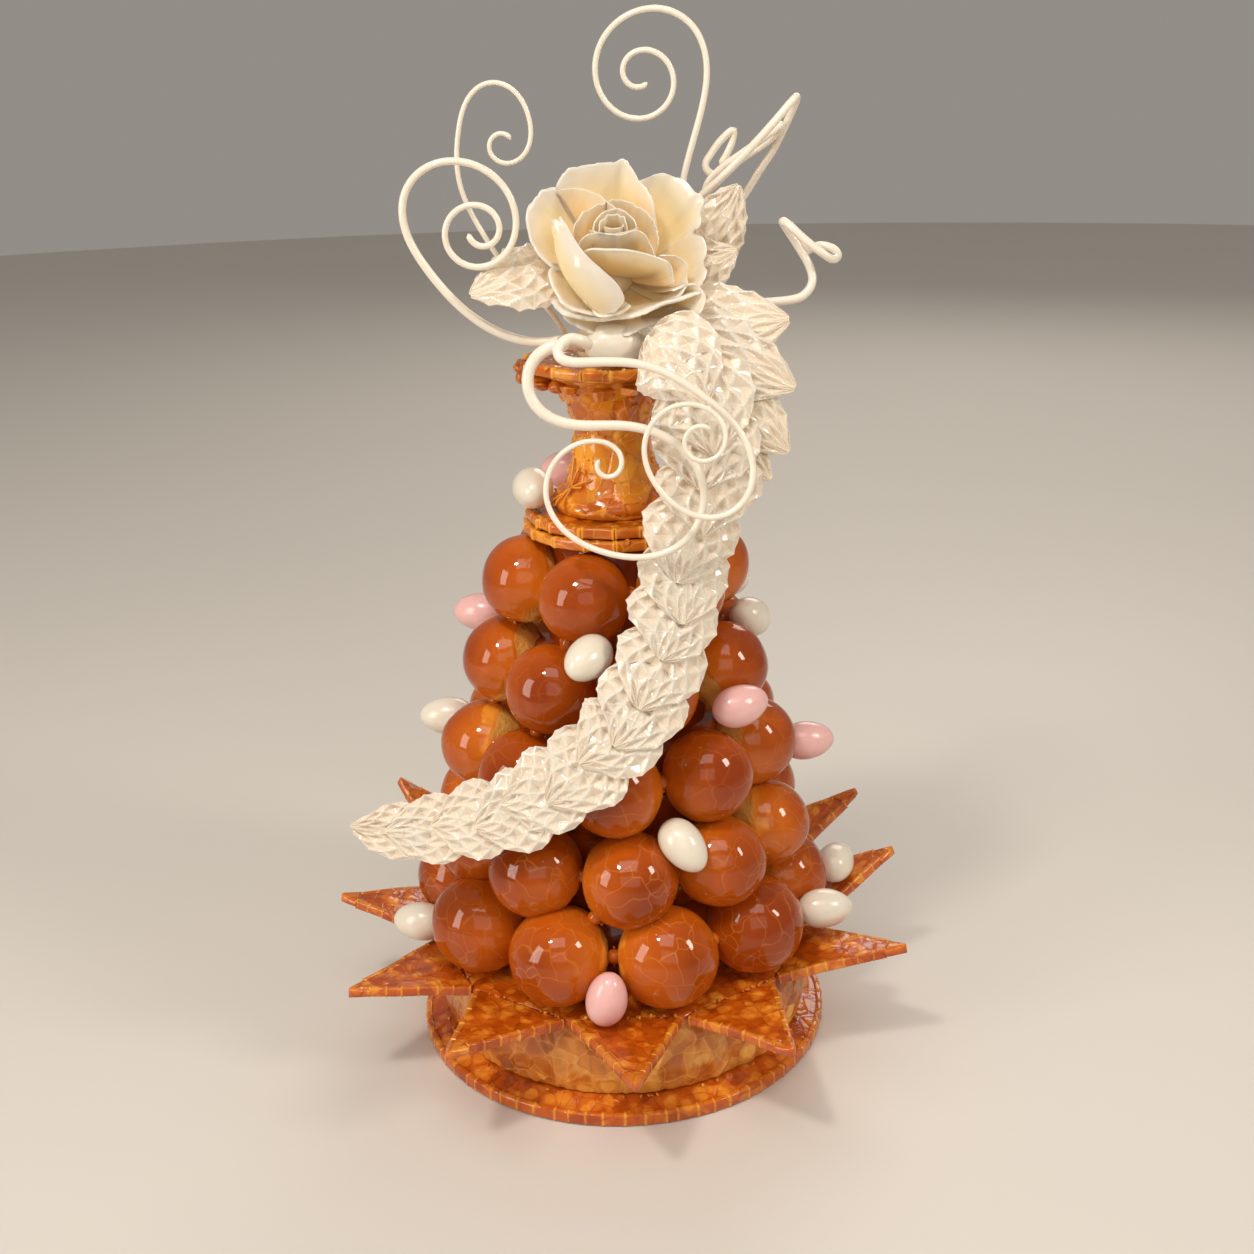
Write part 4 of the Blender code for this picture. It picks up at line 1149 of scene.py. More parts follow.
def crownKnobs(bottom):
    ball = sphereRings(14, 20)
    made = []
    for azimuth, reach, level, size in knobs:
        middle = around(azimuth, reach * mm, bottom + (level + 1.5) * mm) + pedestal["middle"]
        lump = ball * (1 + 0.07 * softNoise(ball, 0.7, 90 - azimuth)[..., None])
        # painted highlight and shade: each knob is painted lighter on top and darker underneath
        made.append(closedRings(middle + lump * size * mm, {"flake": 0.45 + 0.25 * ball[..., 2]}))
    return addMesh("knobs", joined(made))


def addCrown():
    bottom = pedestal["columnTop"] + clearance
    plate = addDisc("crown", crownOutline(discTurn), bottom, pedestal["crownTop"], 63, 4.4 * mm)
    settle(joinObjects(plate, crownSlivers(bottom), crownKnobs(bottom)), "amber", "pedestal_crown")


# sugared almonds

almond = dict(length=26.5 * mm, width=18.4 * mm, taper=0.1, rows=30, count=40)
pinkAlmonds = (1, 3, 8, 9, 13)


def almondAxis(node):
    # middle and long axis of the almond's plain solid, towards its narrow end
    cloud = np.array([v.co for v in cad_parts[node].data.vertices])
    cloud = np.unique(np.round(cloud, 6), axis=0)
    far = np.linalg.norm(cloud[:, None] - cloud[None], axis=-1)
    a, b = np.unravel_index(far.argmax(), far.shape)
    middle = (cloud[a] + cloud[b]) / 2
    axis = unit(cloud[b] - cloud[a])
    offset = cloud - middle
    lengthways = offset @ axis
    out = np.linalg.norm(offset - lengthways[:, None] * axis, axis=1)
    return middle, -axis if out[lengthways > 0].mean() > out[lengthways < 0].mean() else axis


def addAlmond(number):
    node = f"almond_{number:02d}"
    middle, axis = almondAxis(node)
    side = unit(np.cross(axis, (0.3, 0.2, 0.9)))
    ball = sphereRings(almond["rows"], almond["count"])
    width = almond["width"] / 2 * (1 - almond["taper"] * ball[..., [2]])
    lump = 1 + 0.012 * softNoise(ball, 0.8, number)[..., None]
    shape = (ball[..., [0]] * width * side + ball[..., [1]] * width * np.cross(axis, side)
             + ball[..., [2]] * almond["length"] / 2 * axis) * lump
    finish = "pinkAlmond" if number in pinkAlmonds else "whiteAlmond"
    settle(addMesh(pieceName(node), closedRings(middle + shape)), finish, node)


# sugar scrolls

def smoothPath(guides, steps=12):
    # a smooth line through guide points
    guides = np.asarray(guides, float)
    ends = [2 * guides[0] - guides[1], *guides, 2 * guides[-1] - guides[-2]]
    points = []
    for a, b, c, d in zip(ends, ends[1:], ends[2:], ends[3:]):
        for step in range(steps):
            t = step / steps
            points.append(0.5 * (2 * b + (c - a) * t + (2 * a - 5 * b + 4 * c - d) * t ** 2
                                 + (3 * b - a - 3 * c + d) * t ** 3))
    return np.array([*points, guides[-1]])


def scrollPath(start, heading, length, bends, up=(0, 0, 1), rise=0, steps=200):
    # a rod bent in the plane of X and `up`; the bends are in degrees per centimetre
    across = np.array((1.0, 0, 0))
    up = unit(np.array(up, float))
    out = np.cross(across, up)
    step = length / steps
    middle = (np.arange(steps) + 0.5) / steps
    bend = np.interp(middle, np.linspace(0, 1, len(bends)), bends)
    angle = math.radians(heading) + np.cumsum(np.radians(bend / 10) * step)
    moves = step * (np.cos(angle)[:, None] * across + np.sin(angle)[:, None] * up) + out * rise / steps
    return np.concatenate([[start], np.array(start) + np.cumsum(moves, axis=0)])


def rodPart(points, radii, sides=14, lump=0.0, seed=1):
    # a round rod along a line, with rounded ends
    points = np.asarray(points)
    run = runAlong(points)
    even = np.linspace(0, run[-1], max(int(run[-1] / (1.3 * mm)), 12))
    points = placesAt(even, run, points)
    radii = np.interp(even, run, radii) if np.ndim(radii) else np.full(len(points), radii)
    near = np.minimum(even, even[-1] - even)
    radii = radii * np.sqrt(np.clip(1 - (1 - np.minimum(near / radii, 1)) ** 2, 0.06, 1))
    tangent = unit(np.gradient(points, axis=0))
    side = np.zeros_like(points)
    side[0] = unit(np.cross(tangent[0], (0.21, 0.37, 0.91)))
    for i in range(1, len(points)):
        side[i] = unit(side[i - 1] - (side[i - 1] @ tangent[i]) * tangent[i])
    other = np.cross(tangent, side)
    turn = fullTurn(sides, 2 * math.pi)[None, :]
    width = radii[:, None, None] * (1 + lump * softNoise(points, 4 * mm, seed)[:, None, None])
    spoke = np.cos(turn)[..., None] * side[:, None] + np.sin(turn)[..., None] * other[:, None]
    # the rod is painted lighter along one side, a painted highlight
    values = {"lift": 0.65 + 0.3 * np.cos(turn), "along": even[:, None] / (10 * mm), "across": turn}
    return closedRings(points[:, None] + width * spoke, values)


# the hidden root on the crown, then start, heading, length, bends along the rod and radii, in mm
scrolls = {
    "scroll_top": dict(
        root=((29, 12, 333), (31, 14, 360)), start=(35.4, 14, 402.8), heading=78, length=221.6,
        bends=(-6, 5, 28, 22, 27, 38, 46, 106), rise=-3, radii=(1.55, 1.2)),
    "scroll_left_tall": dict(
        root=((-15, 2, 333), (-21, -4, 347)), start=(-35.3, -8, 364.3), heading=145, length=162.7,
        bends=(-22, 0, -15, -6, -54, -20, -70, -134), rise=3, radii=(1.25, 1.0)),
    "scroll_left_round": dict(
        root=((2, -20, 334.5), (-8, -21, 338.5)), start=(-20, -22, 340.7), heading=-169, length=262.6,
        bends=(-17, -10, -4, -31, -21, -27, -45, -48, -104), rise=3, radii=(2.3, 1.3)),
    "scroll_front_right": dict(
        root=((-6, -45, 342), (-9.5, -50, 345), (-14.5, -52, 346), (-18.5, -55, 343), (-17.5, -58, 339.5)),
        start=(-11.3, -59.4, 338), heading=-1, length=252.7,
        bends=(4, -14, -3, -21, -37, -14, -32, -34, -68, -97), up=(0, 0.2, 1), rise=7, radii=(2.7, 1.0)),
    "scroll_front_left": dict(
        root=((-4, -18, 337), (-13, -30, 341), (-17, -42, 343)),
        start=(-17.5, -52, 343.6), heading=177, length=277.7,
        bends=(43, 35, -10, -21, -25, -9, -28, -29, -146), up=(0, 0.2, 1), rise=-3, radii=(3.4, 1.1)),
}
# the two scrolls that turn out of any one plane, as the places they pass through, in mm
loopGuides = (
    (24, 4, 333), (30, 5, 362), (36, 7, 384), (41, 8, 394), (51, 6, 403), (62, 2, 414), (73, 1, 425.5),
    (80.5, 3, 433.5), (83, 8, 434.5), (81, 13, 428), (75, 19, 414.5), (68, 22, 403.5), (63, 23, 395.5),
    (57.5, 21, 390), (50, 18, 388.5), (44.5, 15, 393), (46, 13, 401), (52, 12, 407), (60, 11, 412.5),
    (70, 11, 419), (76.5, 12, 423.5), (77, 14, 422.5), (72.5, 17, 417.5), (64, 18, 412), (55, 17.5, 406.5),
    (48, 17.5, 404), (45, 18, 408), (48, 19, 413), (52, 19, 418), (57, 19, 422), (57, 20, 418),
    (54.5, 20, 412), (51.5, 20, 407.5),
)
hookGuides = (
    (28, -4, 333), (36, -10, 346), (50, -12, 352.5), (62, -14, 353), (79, -14, 354), (85.5, -13, 356.5),
    (88.5, -11, 361.5), (87, -9, 368), (82, -7, 376.5), (77, -6, 384), (76, -8, 386), (78.5, -12, 384.5),
    (84.5, -15, 379), (91, -16, 374), (96.5, -14, 370.5), (99.5, -9, 371.5), (97.5, -5, 374), (92, -2, 375),
    (87, 0, 372.5), (84, -3, 374), (85, -7, 376.5), (88, -8.5, 373.5),
)


def addScrolls():
    paths = {}
    for node, spec in scrolls.items():
        shape = {key: value for key, value in spec.items() if key not in ("root", "radii")}
        path = scrollPath(**shape)
        leadIn = smoothPath([*spec["root"], path[0], path[8]])[:12 * len(spec["root"])]
        paths[node] = np.concatenate([leadIn, path]), spec["radii"]
    paths["scroll_right_tall"] = smoothPath(loopGuides), (1.75, 1.6)
    paths["scroll_right_small"] = smoothPath(hookGuides), (1.95, 1.7)
    for number, (node, (path, (thick, thin))) in enumerate(paths.items()):
        share = np.linspace(0, 1, len(path))
        radii = thin + (thick - thin) * (1 - share) ** 2
        part = rodPart(path * mm, radii * mm, lump=0.02, seed=number)
        settle(addMesh(pieceName(node), part), "rod", node)


# rose

rose = dict(centre=np.array((3.5, -22, 377)) * mm, facing=unit(np.array((0.03, -0.77, 0.64))),
            thickness=0.7 * mm, rows=32, columns=64, root=-15, rootShare=0.14)
# each petal: the places its rim passes through, as mm to the side, up and out from the middle of the bloom;
# then how far out and how deep its belly lies, its curl, ruffle and raggedness
petals = (
    # the broad petals behind
    (((-22, 27, 5), (-17, 33.5, 8), (-7, 36.5, 9), (3, 38, 9), (6.8, 38.6, 9.5), (9.2, 35, 9.5),
      (13, 27.5, 10),
      (18.5, 16.5, 9), (20, 6, 4)), 0.86, -7, 3.0, 0.5, 0.9),
    (((13, 29, 5), (20.5, 32.5, 7), (28, 31, 8), (34.5, 22.5, 8), (39.5, 17.5, 8), (36.5, 7, 4)),
     0.85, -8, 2.5, 0.9, 0.4),
    (((-21, 28.5, 5), (-28.5, 25, 7), (-33.5, 17.5, 6), (-34, 7.5, 4), (-31, -1, 2), (-22.5, -8, -2)),
     0.85, -8, 2.0, 0.5, 0.7),
    (((-22, 26, 6), (-13, 24.5, 9.5), (-5, 19.5, 12), (-0.5, 14.5, 13), (4.5, 9, 14), (7, 5, 13)),
     1.0, -6, 0.6, 0.1, 0.3),
    # the open petals below and at the right
    (((35, 7, 5), (38.5, -3, 5), (38, -15, 4), (34, -21, 1)), 0.8, -10, 2.0, 1.2, 0.7),
    (((20, -8, 8), (27, -9.5, 8), (31, -14, 7), (29, -22, 4), (22, -27, 0)), 0.85, -8, 1.5, 0.8, 0.6),
    (((-24, -4, -2), (-26, -11, 0), (-24, -19, 0), (-18.5, -26, -1), (-7.5, -30, -1), (-1, -30, -3)),
     0.85, -10, 2.0, 0.4, 0.5),
    (((-25, -20, -5), (-22, -26.5, -3), (-12, -31, -3), (-1, -31.5, -2), (7, -31.5, -1), (15, -29.5, 1),
      (23, -28.5, 3), (35.5, -24.5, 5)), 0.8, -14, 3.5, 1.6, 1.5),
    (((-22, -22, -10), (-16, -30, -9), (-6, -35, -9), (5, -34, -9), (15, -32, -8), (24, -31, -6),
      (32, -27, -3)),
     0.8, -16, 2.0, 1.8, 1.8),
    (((24, -22, 3), (33, -21, 6), (37, -27, 5), (33, -33, 1), (24, -36, -4),
      (15, -34, -8)), 0.8, -12, 1.5, 0.5, 0.6),
    (((-10, -26, 0), (-6, -31.5, 1), (2, -31, 1.5), (7, -27, 0)), 0.85, -9, 2.0, 0.8, 0.8),
    # the cup round the bud
    (((-16.5, -4, 7), (-15.5, 2, 11), (-12.5, 9, 12), (-7.5, 13.5, 12), (-1.5, 15.5, 12.5), (5, 16.5, 12.5),
      (11, 13.5, 12), (17.5, 7, 11), (19.5, -2, 7)), 1.02, -8, 0.8, 0.25, 1.0),
    (((-15, -12, 8), (-12.5, -5.5, 16), (-7, -5, 20), (2, -7, 21.5), (11, -4.5, 20), (15.5, -7, 15),
      (18, -13, 8)),
     1.25, 0, 0.7, 0.1, 0.4),
    (((-14, -17, 5), (-11.5, -10.5, 15), (-2, -13, 20), (7.5, -14, 20), (17, -15, 17), (23, -16, 13),
      (25, -20, 6)),
     1.12, 0, 3.2, 0.1, 0.2),
    # the bud
    (((-7.5, -5, 12), (-7.8, -1, 16), (-6, 4, 17.5), (-2, 7.4, 18), (3, 8, 18.2), (7.5, 5.2, 18),
      (10, 0.8, 17.5),
      (10.2, -4, 13)), 1.12, 3, 0.3, 0.1, 0.8),
    (((-8.8, 0.5, 14), (-7.5, -2.8, 18.5), (-3.6, -5.4, 20.6), (2, -6.2, 21), (7.2, -4.6, 20.4),
      (10.4, -1, 17),
      (11, 1.5, 14)), 1.2, 4, 0.3, 0.1, 0.7),
    (((-4.8, -2.5, 15), (-4.4, 1.2, 18.6), (-1.4, 4, 19.4), (2.8, 4.2, 19.6), (5.8, 1.6, 19.2),
      (6, -2.2, 17)),
     1.12, 6, 0.2, 0.1, 0.9),
    (((-3.2, 1, 16), (-2.6, -1.8, 19.4), (0.6, -3.2, 20.3), (4, -2, 19.8),
      (4.8, 0.8, 17.5)), 1.12, 6, 0.2, 0.1, 1.0),
)
# the narrow petal that wraps over the front from the left: places down its free edge, over its back
# and at its foot
wrapPetal = (
    ((-20, 8.5, 12), (-18, 3.5, 14.5), (-15.5, -4.5, 17.5), (-11, -13, 18), (-4.5, -19, 16), (2, -24, 11.5),
     (4, -28, 7), (0, -31, 3)),
    ((-22.5, 8, 11.5), (-21, 2.5, 13), (-19, -6, 15), (-15, -15, 15.5), (-9, -21.5, 13.5), (-3, -26.5, 9.5),
     (-0.5, -29.5, 5), (-3, -31, 2)),
    ((-24, 7, 10), (-23.5, 1, 9), (-22.5, -8, 9), (-19.5, -16, 8.5), (-14.5, -23, 7), (-9, -28, 4.5),
     (-6, -30, 2), (-6, -31, 0.5)),
    ((-22, 6, 6), (-22, 1, 4), (-21, -8, 2), (-18, -15, 0), (-14, -21, -1), (-9.5, -26, -2),
     (-7, -28, -2), (-6, -29, -2)),
)


def onBloom(places):
    # from mm on the bloom to places in the scene
    side = unit(np.cross((0, 0, 1), rose["facing"]))
    axes = side, np.cross(rose["facing"], side), rose["facing"]
    return rose["centre"] + mm * sum(places[..., [i]] * axis for i, axis in enumerate(axes))


def evenly(guides, count):
    # the given number of places along a smooth line through the guides
    path = smoothPath(guides)
    run = runAlong(path)
    return placesAt(np.linspace(0, run[-1], count), run, path)


def petalShell(places, v, u, seed):
    # gives a petal its thickness, thin at the rim
    front = onBloom(places)
    thin = rose["thickness"] * (1 - 0.5 * np.maximum(v ** 6, np.abs(u) ** 8))
    back = front + normals(front) * thin[..., None]
    # painted light: petals are painted golden towards their roots as painted shade and glow, and ivory at the
    # rim and sides as painted highlight
    glow = smoothStep(0.3, 1.0, v) * 0.85 + 0.15 * np.abs(u) ** 4
    return shell(front, back, {"lift": glow, "along": v * 2.5, "across": (u + 0.4 * seed) * 2.2})


def petalPart(number, rim, belly, depth, curl, ruffle, ragged):
    v = np.linspace(0, 1, rose["rows"])[:, None]
    u = np.linspace(-1, 1, rose["columns"])[None, :]
    edge = evenly(rim, rose["columns"])[None]
    outward = unit(edge * (1, 1, 0))
    torn = 1.0 * softNoise(edge, 2.6, 300 + number) + 0.8 * softNoise(edge, 1.4, 330 + number)
    edge = edge + torn[..., None] * ragged * (0.5 * outward + (0, 0, 0.5))
    root = edge * (rose["rootShare"], rose["rootShare"], 0) + (1.0, -1.0, rose["root"])
    low = edge * (belly, belly, 0) + (0, 0, depth)
    high = edge - outward * (0.5 + 0.5 * curl) + (0, 0, curl * 0.9)
    a, b, c, d = ((1 - v) ** 3, 3 * v * (1 - v) ** 2, 3 * v ** 2 * (1 - v), v ** 3)
    places = a[..., None] * root + b[..., None] * low + c[..., None] * high + d[..., None] * edge
    wave = ruffle * (np.sin(6 * u + number) * v ** 3 + 0.5 * np.sin(13 * u + 2.3 * number) * v ** 6)
    places = places + wave[..., None] * (0.7 * outward + (0, 0, 0.7))
    places = places + 0.35 * softNoise(places, 5.0, number)[..., None] * v[..., None] * outward
    return petalShell(places, v, u, number)


def wrapPart():
    guides = [evenly(guide, rose["columns"]) for guide in wrapPetal]
    across = np.array([smoothPath([guide[i] for guide in guides[::-1]], 10) for i in range(rose["columns"])])
    places = across.transpose(1, 0, 2)
    v = np.linspace(0, 1, len(places))[:, None]
    u = np.linspace(-1, 1, rose["columns"])[None, :]
    tip = smoothStep(-0.6, -1.0, u)
    torn = softNoise(places, 2.0, 350) * tip * 3.0 + 0.3 * softNoise(places, 4.0, 351) * v
    places = places + torn[..., None] * np.array((-0.5, 0.6, 0.6))
    return petalShell(places, v, u, 9)


def addRose():
    parts = [petalPart(number, *numbers) for number, numbers in enumerate(petals)] + [wrapPart()]
    # the sugar foot that holds it on the crown
    levels = np.linspace(0, 1, 16)[:, None]
    width = (16.5 - 5.5 * levels ** 0.8) * mm
    low = np.array((3 * mm, 0, 330.4 * mm))
    high = rose["centre"] - 15 * mm * rose["facing"]
    foot = low + levels[..., None] * (high - low) + around(fullTurn(60)[None, :], width, 0)
    foot = foot + 0.8 * mm * softNoise(foot, 8 * mm, 2)[..., None]
    parts.append(closedRings(foot, {"lift": 0.35, "along": levels, "across": 0}))
    settle(addMesh("rose", joined(parts)), "petal", "rose")


# leaves

leaf = dict(panels=8, rows=5, fold=1.5 * mm, crease=0.24 * mm, midrib=0.5 * mm, thickness=0.85 * mm,
            sharp=math.radians(24), steps=(0, 0.08, 0.3, 0.5, 0.7, 0.92))
garland = dict(
    leaves=16, lift=2.6 * mm, reach=2.0,
    route=((17, -41, 344), (27, -47, 338), (38, -50, 322), (42, -51, 300), (38.5, -52, 275), (31, -58, 248),
           (24.5, -68, 222), (15, -76, 205), (4.5, -82.5, 187.5), (-12, -85.5, 174), (-30, -84.5, 159),
           (-50, -79, 148), (-69, -76, 141.5), (-88, -71, 137.5), (-104, -68, 137), (-117.5, -67, 140)),
    widths=(34, 44, 46, 46, 44, 42, 41, 40, 38, 34, 25),
)


def leafSheet(length, width, seed, tooth):
    # a leaf laid flat: along, across and above each of its points, and how light each is painted: painted
    # highlight on the folds and the margin, lighter on high facets and painted shade in low ones.
    # Side veins run out from the midrib; between them the sheet is pressed into slanting triangles
    rng = np.random.default_rng(seed)
    panels, rows, steps = leaf["panels"], leaf["rows"], np.array(leaf["steps"])
    count = len(steps)
    halves = []
    for side in (-1, 1):
        shift = rng.uniform(-0.4, 0.4, (panels + 1, rows - 1))
        lines = (np.arange(rows + 1) + np.pad(shift, ((0, 0), (1, 1)))) / rows
        parity = (np.arange(panels + 1)[:, None] + np.arange(rows + 1)[None, :]) % 2
        bumps = leaf["fold"] * (2 * parity - 1) * rng.uniform(0.35, 1.0, parity.shape)
        bumps[:, 0] = 0
        reach = np.zeros((panels * count + 1, rows * count + 1))
        height, share = np.zeros_like(reach), np.zeros_like(reach)
        out = 1 + tooth * rng.uniform(0.3, 1.0, panels + 1)
        notch = 1 - tooth * rng.uniform(0.1, 0.7, panels)
        edge = np.ones(panels * count + 1)
        for i in range(panels + 1):
            for a, part in enumerate(steps if i < panels else (0.0,)):
                row = i * count + a
                after = min(i + 1, panels)
                edge[row] = out[i] * (1 - part) + out[after] * part
                edge[row] -= (edge[row] - notch[min(i, panels - 1)]) * (4 * part * (1 - part)) ** 1.5
                for j in range(rows + 1):
                    for b, s in enumerate(steps if j < rows else (0.0,)):
                        column = j * count + b
                        end = min(j + 1, rows)
                        low = lines[i, j] * (1 - part) + lines[after, j] * part
                        high = lines[i, end] * (1 - part) + lines[after, end] * part
                        h00, h01, h10, h11 = bumps[i, j], bumps[i, end], bumps[after, j], bumps[after, end]
                        across = h00 + h11 >= h01 + h10
                        p = part if across else 1 - part
                        n00, n01, n10, n11 = (h00, h01, h10, h11) if across else (h10, h11, h00, h01)
                        if s <= p:
                            value = n00 + p * (n10 - n00) + s * (n11 - n10)
                        else:
                            value = n00 + p * (n11 - n01) + s * (n01 - n00)
                        onFold = min(part, s, abs(s - p)) < 0.001
                        reach[row, column] = low + s * (high - low)
                        height[row, column] = value + leaf["crease"] * onFold
                        # painted highlight on the folds, painted shade deepening into the low facets
                        share[row, column] = 0.95 if onFold else 0.5 + 0.3 * value / leaf["fold"]
        halves.append((side, reach, height, share, edge))
    u = np.concatenate([(i + steps) / panels for i in range(panels)] + [[1.0]])[:, None]
    u = 0.012 + 0.978 * u
    half = width / 2 * np.sin(math.pi * u ** 0.74) ** 0.72
    rib, outer = length * u ** 1.55, length * u ** 1.0
    columns = []
    for side, reach, height, share, edge in halves:
        bulge = 1 + (edge[:, None] - 1) * reach ** 5
        along = rib + (outer - rib) * reach ** 1.25 * bulge
        across = side * half * reach * bulge
        flatten = np.minimum(half / (8 * mm), 1)
        height = height * flatten + leaf["midrib"] * np.exp(-(half * reach / (0.9 * mm)) ** 2)
        # the margin is painted light too, a painted highlight on the leaf's edge
        columns.append([along, across, height, np.maximum(share, smoothStep(0.96, 1.0, reach))])
    left, right = columns
    return [np.concatenate([a[:, :0:-1], b], axis=1) for a, b in zip(left, right)]


def leafPart(place, length, width, seed, lift=0.0, cup=0.0, tooth=0.025):
    along, across, height, shade = leafSheet(length, width, seed, tooth)
    share = along / length
    reach = across / (width / 2)
    above = height + lift * share + cup * reach ** 2
    thin = leaf["thickness"] * (1 - 0.5 * smoothStep(0.85, 1.0, np.abs(reach)))
    return shell(place(along, across, above), place(along, across, above - thin),
                 {"lift": shade, "along": share, "across": reach})


garlandPath = smoothPath(np.array(garland["route"])) * mm
garlandRun = runAlong(garlandPath)


def garlandMiddle(distance):
    return placesAt(distance, garlandRun, garlandPath)


def garlandPlace(start, swing=0.0):
    # puts a leaf whose stem is at a distance along the garland's middle line
    def place(along, across, above):
        turned = along * math.cos(swing) - across * math.sin(swing)
        sideways = along * math.sin(swing) + across * math.cos(swing)
        here = garlandMiddle(start + turned)
        beyond = np.maximum(start + turned - garlandRun[-1], 0)[..., None]
        ahead = garlandMiddle(np.minimum(start + turned + 4 * mm, garlandRun[-1]))
        behind = garlandMiddle(np.minimum(start + turned, garlandRun[-1]) - 4 * mm)
        forward = unit(ahead - behind)
        here = here + beyond * forward
        out = np.hypot(here[..., 0], here[..., 1])
        outward = unit(np.stack([here[..., 0], here[..., 1], 0.23 * out], axis=-1))
        free = np.clip((np.abs(here[..., 2] - 200 * mm) - 50 * mm) / (40 * mm), 0, 1)[..., None]
        hung = unit(np.array((-0.1, -1, 0.2)))
        outward = unit(outward * (1 - 0.75 * free) + hung * 0.75 * free)
        face = unit(outward - (outward * forward).sum(-1, keepdims=True) * forward)
        side = np.cross(face, forward)
        drape = (1 - free[..., 0]) * sideways ** 2 / (2 * out)
        return here + sideways[..., None] * side + (above - drape)[..., None] * face
    return place


def straightPlace(stem, tip, facing, arch, length):
    # puts a leaf between two points, bowed out towards the way it faces
    stem, tip = np.array(stem) * mm, np.array(tip) * mm
    forward = unit(tip - stem)
    facing = np.array(facing, float)
    face = unit(facing - (facing @ forward) * forward)
    side = np.cross(face, forward)

    def place(along, across, above):
        bow = arch * mm * np.sin(math.pi * np.clip(along / length, 0, 1))
        return stem + along[..., None] * forward + across[..., None] * side + (above + bow)[..., None] * face
    return place


def addBlades(node, parts):
    blades = addMesh(pieceName(node), joined(parts))
    blades.data.set_sharp_from_angle(angle=leaf["sharp"])
    settle(blades, "leaf", node)


def addGarland():
    spacing = garlandRun[-1] / (garland["leaves"] - 1 + garland["reach"])
    steps = np.linspace(0, 1, len(garland["widths"]))
    for node in range(8):
        parts = []
        for k in (2 * node, 2 * node + 1):
            length = spacing * garland["reach"] * (1 + 0.06 * math.sin(1.9 * k))
            width = float(np.interp((k + 0.9) / garland["leaves"], steps, garland["widths"])) * mm
            place = garlandPlace(k * spacing, math.radians(5 * math.sin(2.7 * k)))
            parts.append(leafPart(place, length, width, 500 + k, lift=garland["lift"]))
        addBlades(f"garland_leaf_{node + 1}", parts)


# the leaves that fan out under the rose and those behind it: node, then stem, tip, facing, width, cup and bow
sprays = (
    ("fan_leaf_1", (((22, -31, 343), (77, -35, 349), (0.15, -1, 0.35), 38, -2.5, 3),)),
    ("fan_leaf_2", (((24, -37, 346), (79, -41, 321.5), (0.2, -1, 0.25), 36, -2.5, 4),)),
    ("fan_leaf_3", (((42, -41, 328), (76, -44, 295), (0.25, -1, 0.2), 30, -2.0, 3),
                    ((36, -43, 312), (68.5, -46, 284), (0.25, -1, 0.15), 26, -2.0, 2))),
    ("rose_leaf_left", (((-15, -12, 370), (-55.5, -30, 361.5), (-0.1, -0.8, 0.6), 32, -2.0, 3),)),
    ("rose_leaf_right", (((38, -2, 366), (58.5, 0, 401), (0.3, -0.9, 0.3), 28, -2.0, 3),)),
    ("rose_leaf_low", (((27, -10, 360), (57, -10, 375), (0.3, -0.8, 0.5), 26, -2.0, 3),)),
)


def addSprays():
    for number, (node, blades) in enumerate(sprays):
        parts = []
        for extra, (stem, tip, facing, width, cup, arch) in enumerate(blades):
            length = np.linalg.norm(np.subtract(tip, stem)) * mm
            place = straightPlace(stem, tip, facing, arch, length)
            parts.append(leafPart(place, length, width * mm, 540 + 2 * number + extra, cup=cup * mm,
                                  tooth=0.06))
        addBlades(node, parts)


addBaseDisc()
addDrum()
addStarDish()
for number, (tipHeight, swing) in enumerate(stand["tips"], 1):
    addStarPoint(number, tipHeight, swing)
print("stand made")
puffKinds = makePuffKinds()
for tier in range(len(tiers)):
    addPuffTier(tier, puffKinds)
print("puffs made")
addFeet()
addColumn()
addCrown()
print("pedestal made")
for number in range(1, 16):
    addAlmond(number)
addScrolls()
print("almonds and scrolls made")
addRose()
addGarland()
addSprays()
print("rose and leaves made")


# studio

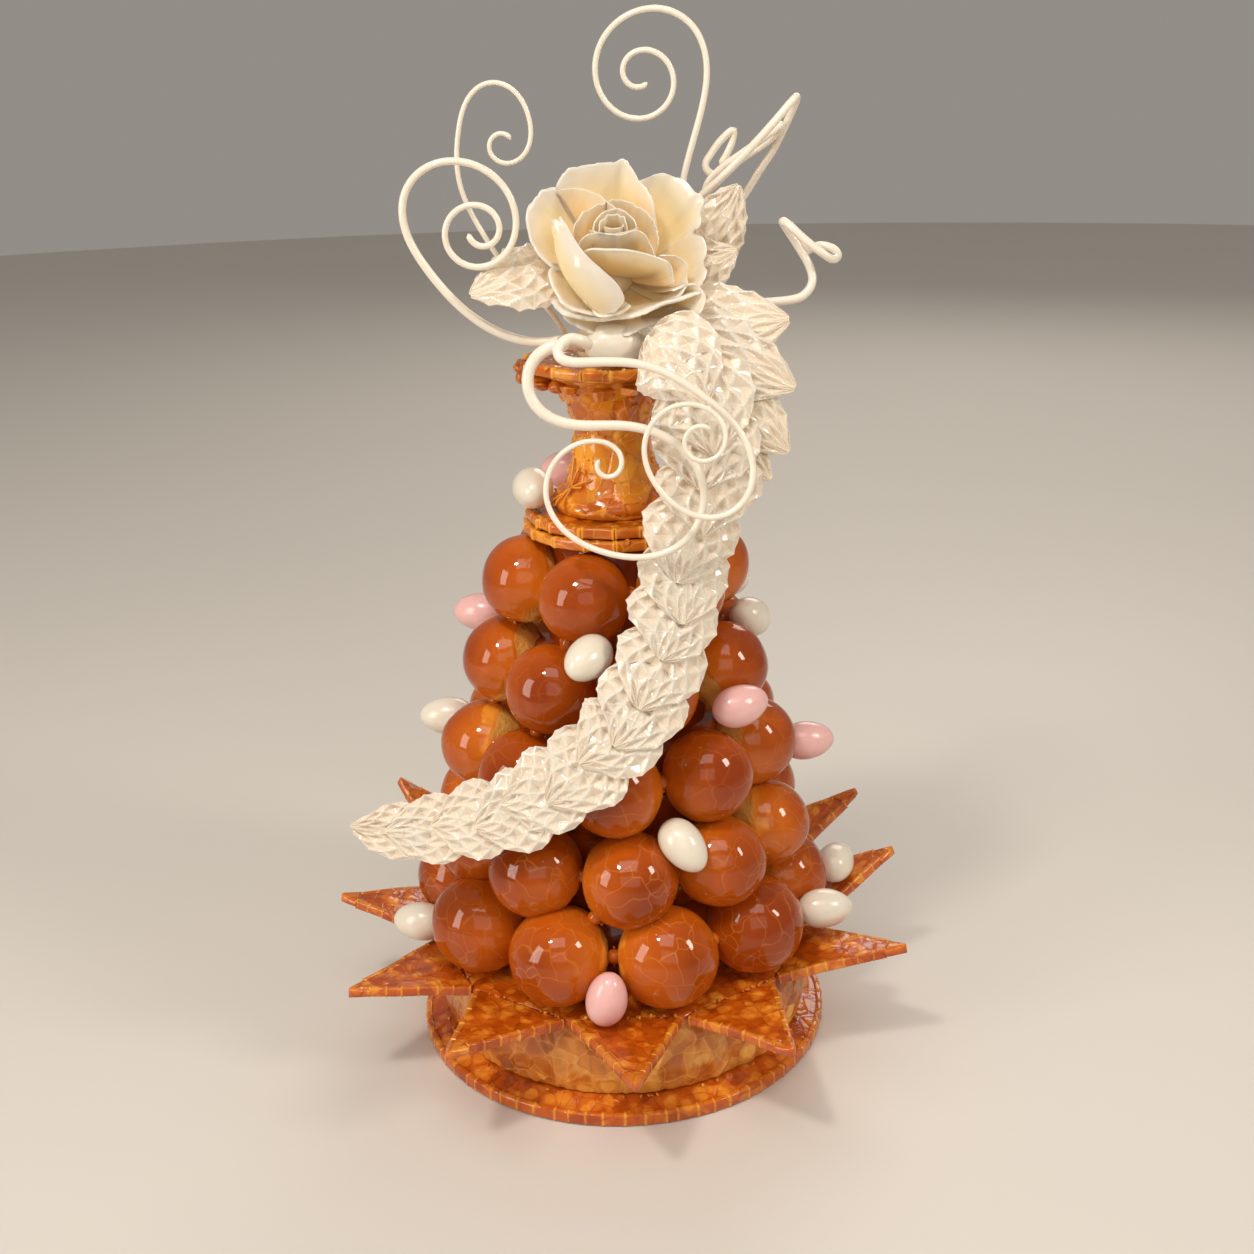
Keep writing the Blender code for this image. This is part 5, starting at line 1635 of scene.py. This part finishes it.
studio = dict(
    cameraPlace=(6.22 * mm, -676.64 * mm, 449.71 * mm), cameraTilt=69.989, cameraRoll=-1.448, lens=44.39,
    floorRadius=4.0, floorLight=(0.70, 0.66, 0.61), floorShade=(0.67, 0.63, 0.58),
    worldColour=(1.0, 0.93, 0.84), worldStrength=0.29,
    # place, aim, width and height in metres, power in watts, colour
    lights=(
        ("key", (-0.42, -0.62, 1.32), (0, 0, 0.2), 0.16, 0.14, 6, (1.0, 0.93, 0.84)),
        ("leftWindow", (-1.25, -0.75, 0.62), (0, 0, 0.2), 0.5, 0.9, 9, (1.0, 0.94, 0.86)),
        ("rightWindow", (1.05, -0.55, 0.95), (0, 0, 0.2), 0.24, 0.40, 6, (1.0, 0.92, 0.82)),
        ("front", (0.12, -1.7, 0.95), (0, 0, 0.25), 1.3, 0.9, 3.5, (1.0, 0.94, 0.86)),
        ("top", (0.0, -1.1, 2.2), (0, 0, 0.2), 1.4, 1.0, 12, (1.0, 0.95, 0.88)),
        ("back", (0.60, 1.90, 1.3), (0, 0, 0.25), 1.2, 0.8, 10, (1.0, 0.93, 0.84)),
    ),
)


def addCamera(scene):
    lens = bpy.data.cameras.new("camera")
    lens.sensor_width = 36
    lens.lens = studio["lens"]
    lens.clip_start = 0.01
    camera = bpy.data.objects.new("camera", lens)
    camera.matrix_world = (Matrix.Translation(studio["cameraPlace"])
                           @ Matrix.Rotation(math.radians(studio["cameraTilt"]), 4, "X")
                           @ Matrix.Rotation(math.radians(studio["cameraRoll"]), 4, "Z"))
    scene.collection.objects.link(camera)
    scene.camera = camera


def addLights(scene):
    for name, place, aim, width, height, power, colour in studio["lights"]:
        lamp = bpy.data.lights.new(name, "AREA")
        lamp.shape = "RECTANGLE"
        lamp.size = width
        lamp.size_y = height
        lamp.energy = power
        lamp.color = colour
        obj = bpy.data.objects.new(name, lamp)
        obj.location = place
        obj.rotation_euler = (Vector(aim) - Vector(place)).to_track_quat("-Z", "Y").to_euler()
        scene.collection.objects.link(obj)
    world = bpy.data.worlds.new("studio")
    world.use_nodes = True
    background = world.node_tree.nodes["Background"]
    background.inputs["Color"].default_value = (*studio["worldColour"], 1)
    background.inputs["Strength"].default_value = studio["worldStrength"]
    scene.world = world


def addFloor():
    turn = fullTurn(64)
    floor = addMesh("floor", (around(turn, studio["floorRadius"], 0), [list(range(len(turn)))], {}))
    if floor.data.polygons[0].normal.z < 0:
        floor.data.flip_normals()
    material, tree, shader = newMaterial("floorPaint", 0.5)
    shade = mixColours(tree, noise(tree, 3), studio["floorLight"], studio["floorShade"])
    tree.links.new(shade, shader.inputs["Base Color"])
    floor.data.materials.append(material)


def addStudio():
    scene = bpy.context.scene
    addCamera(scene)
    addLights(scene)
    addFloor()
    scene.view_settings.view_transform = "Standard"


addStudio()
print("studio made")
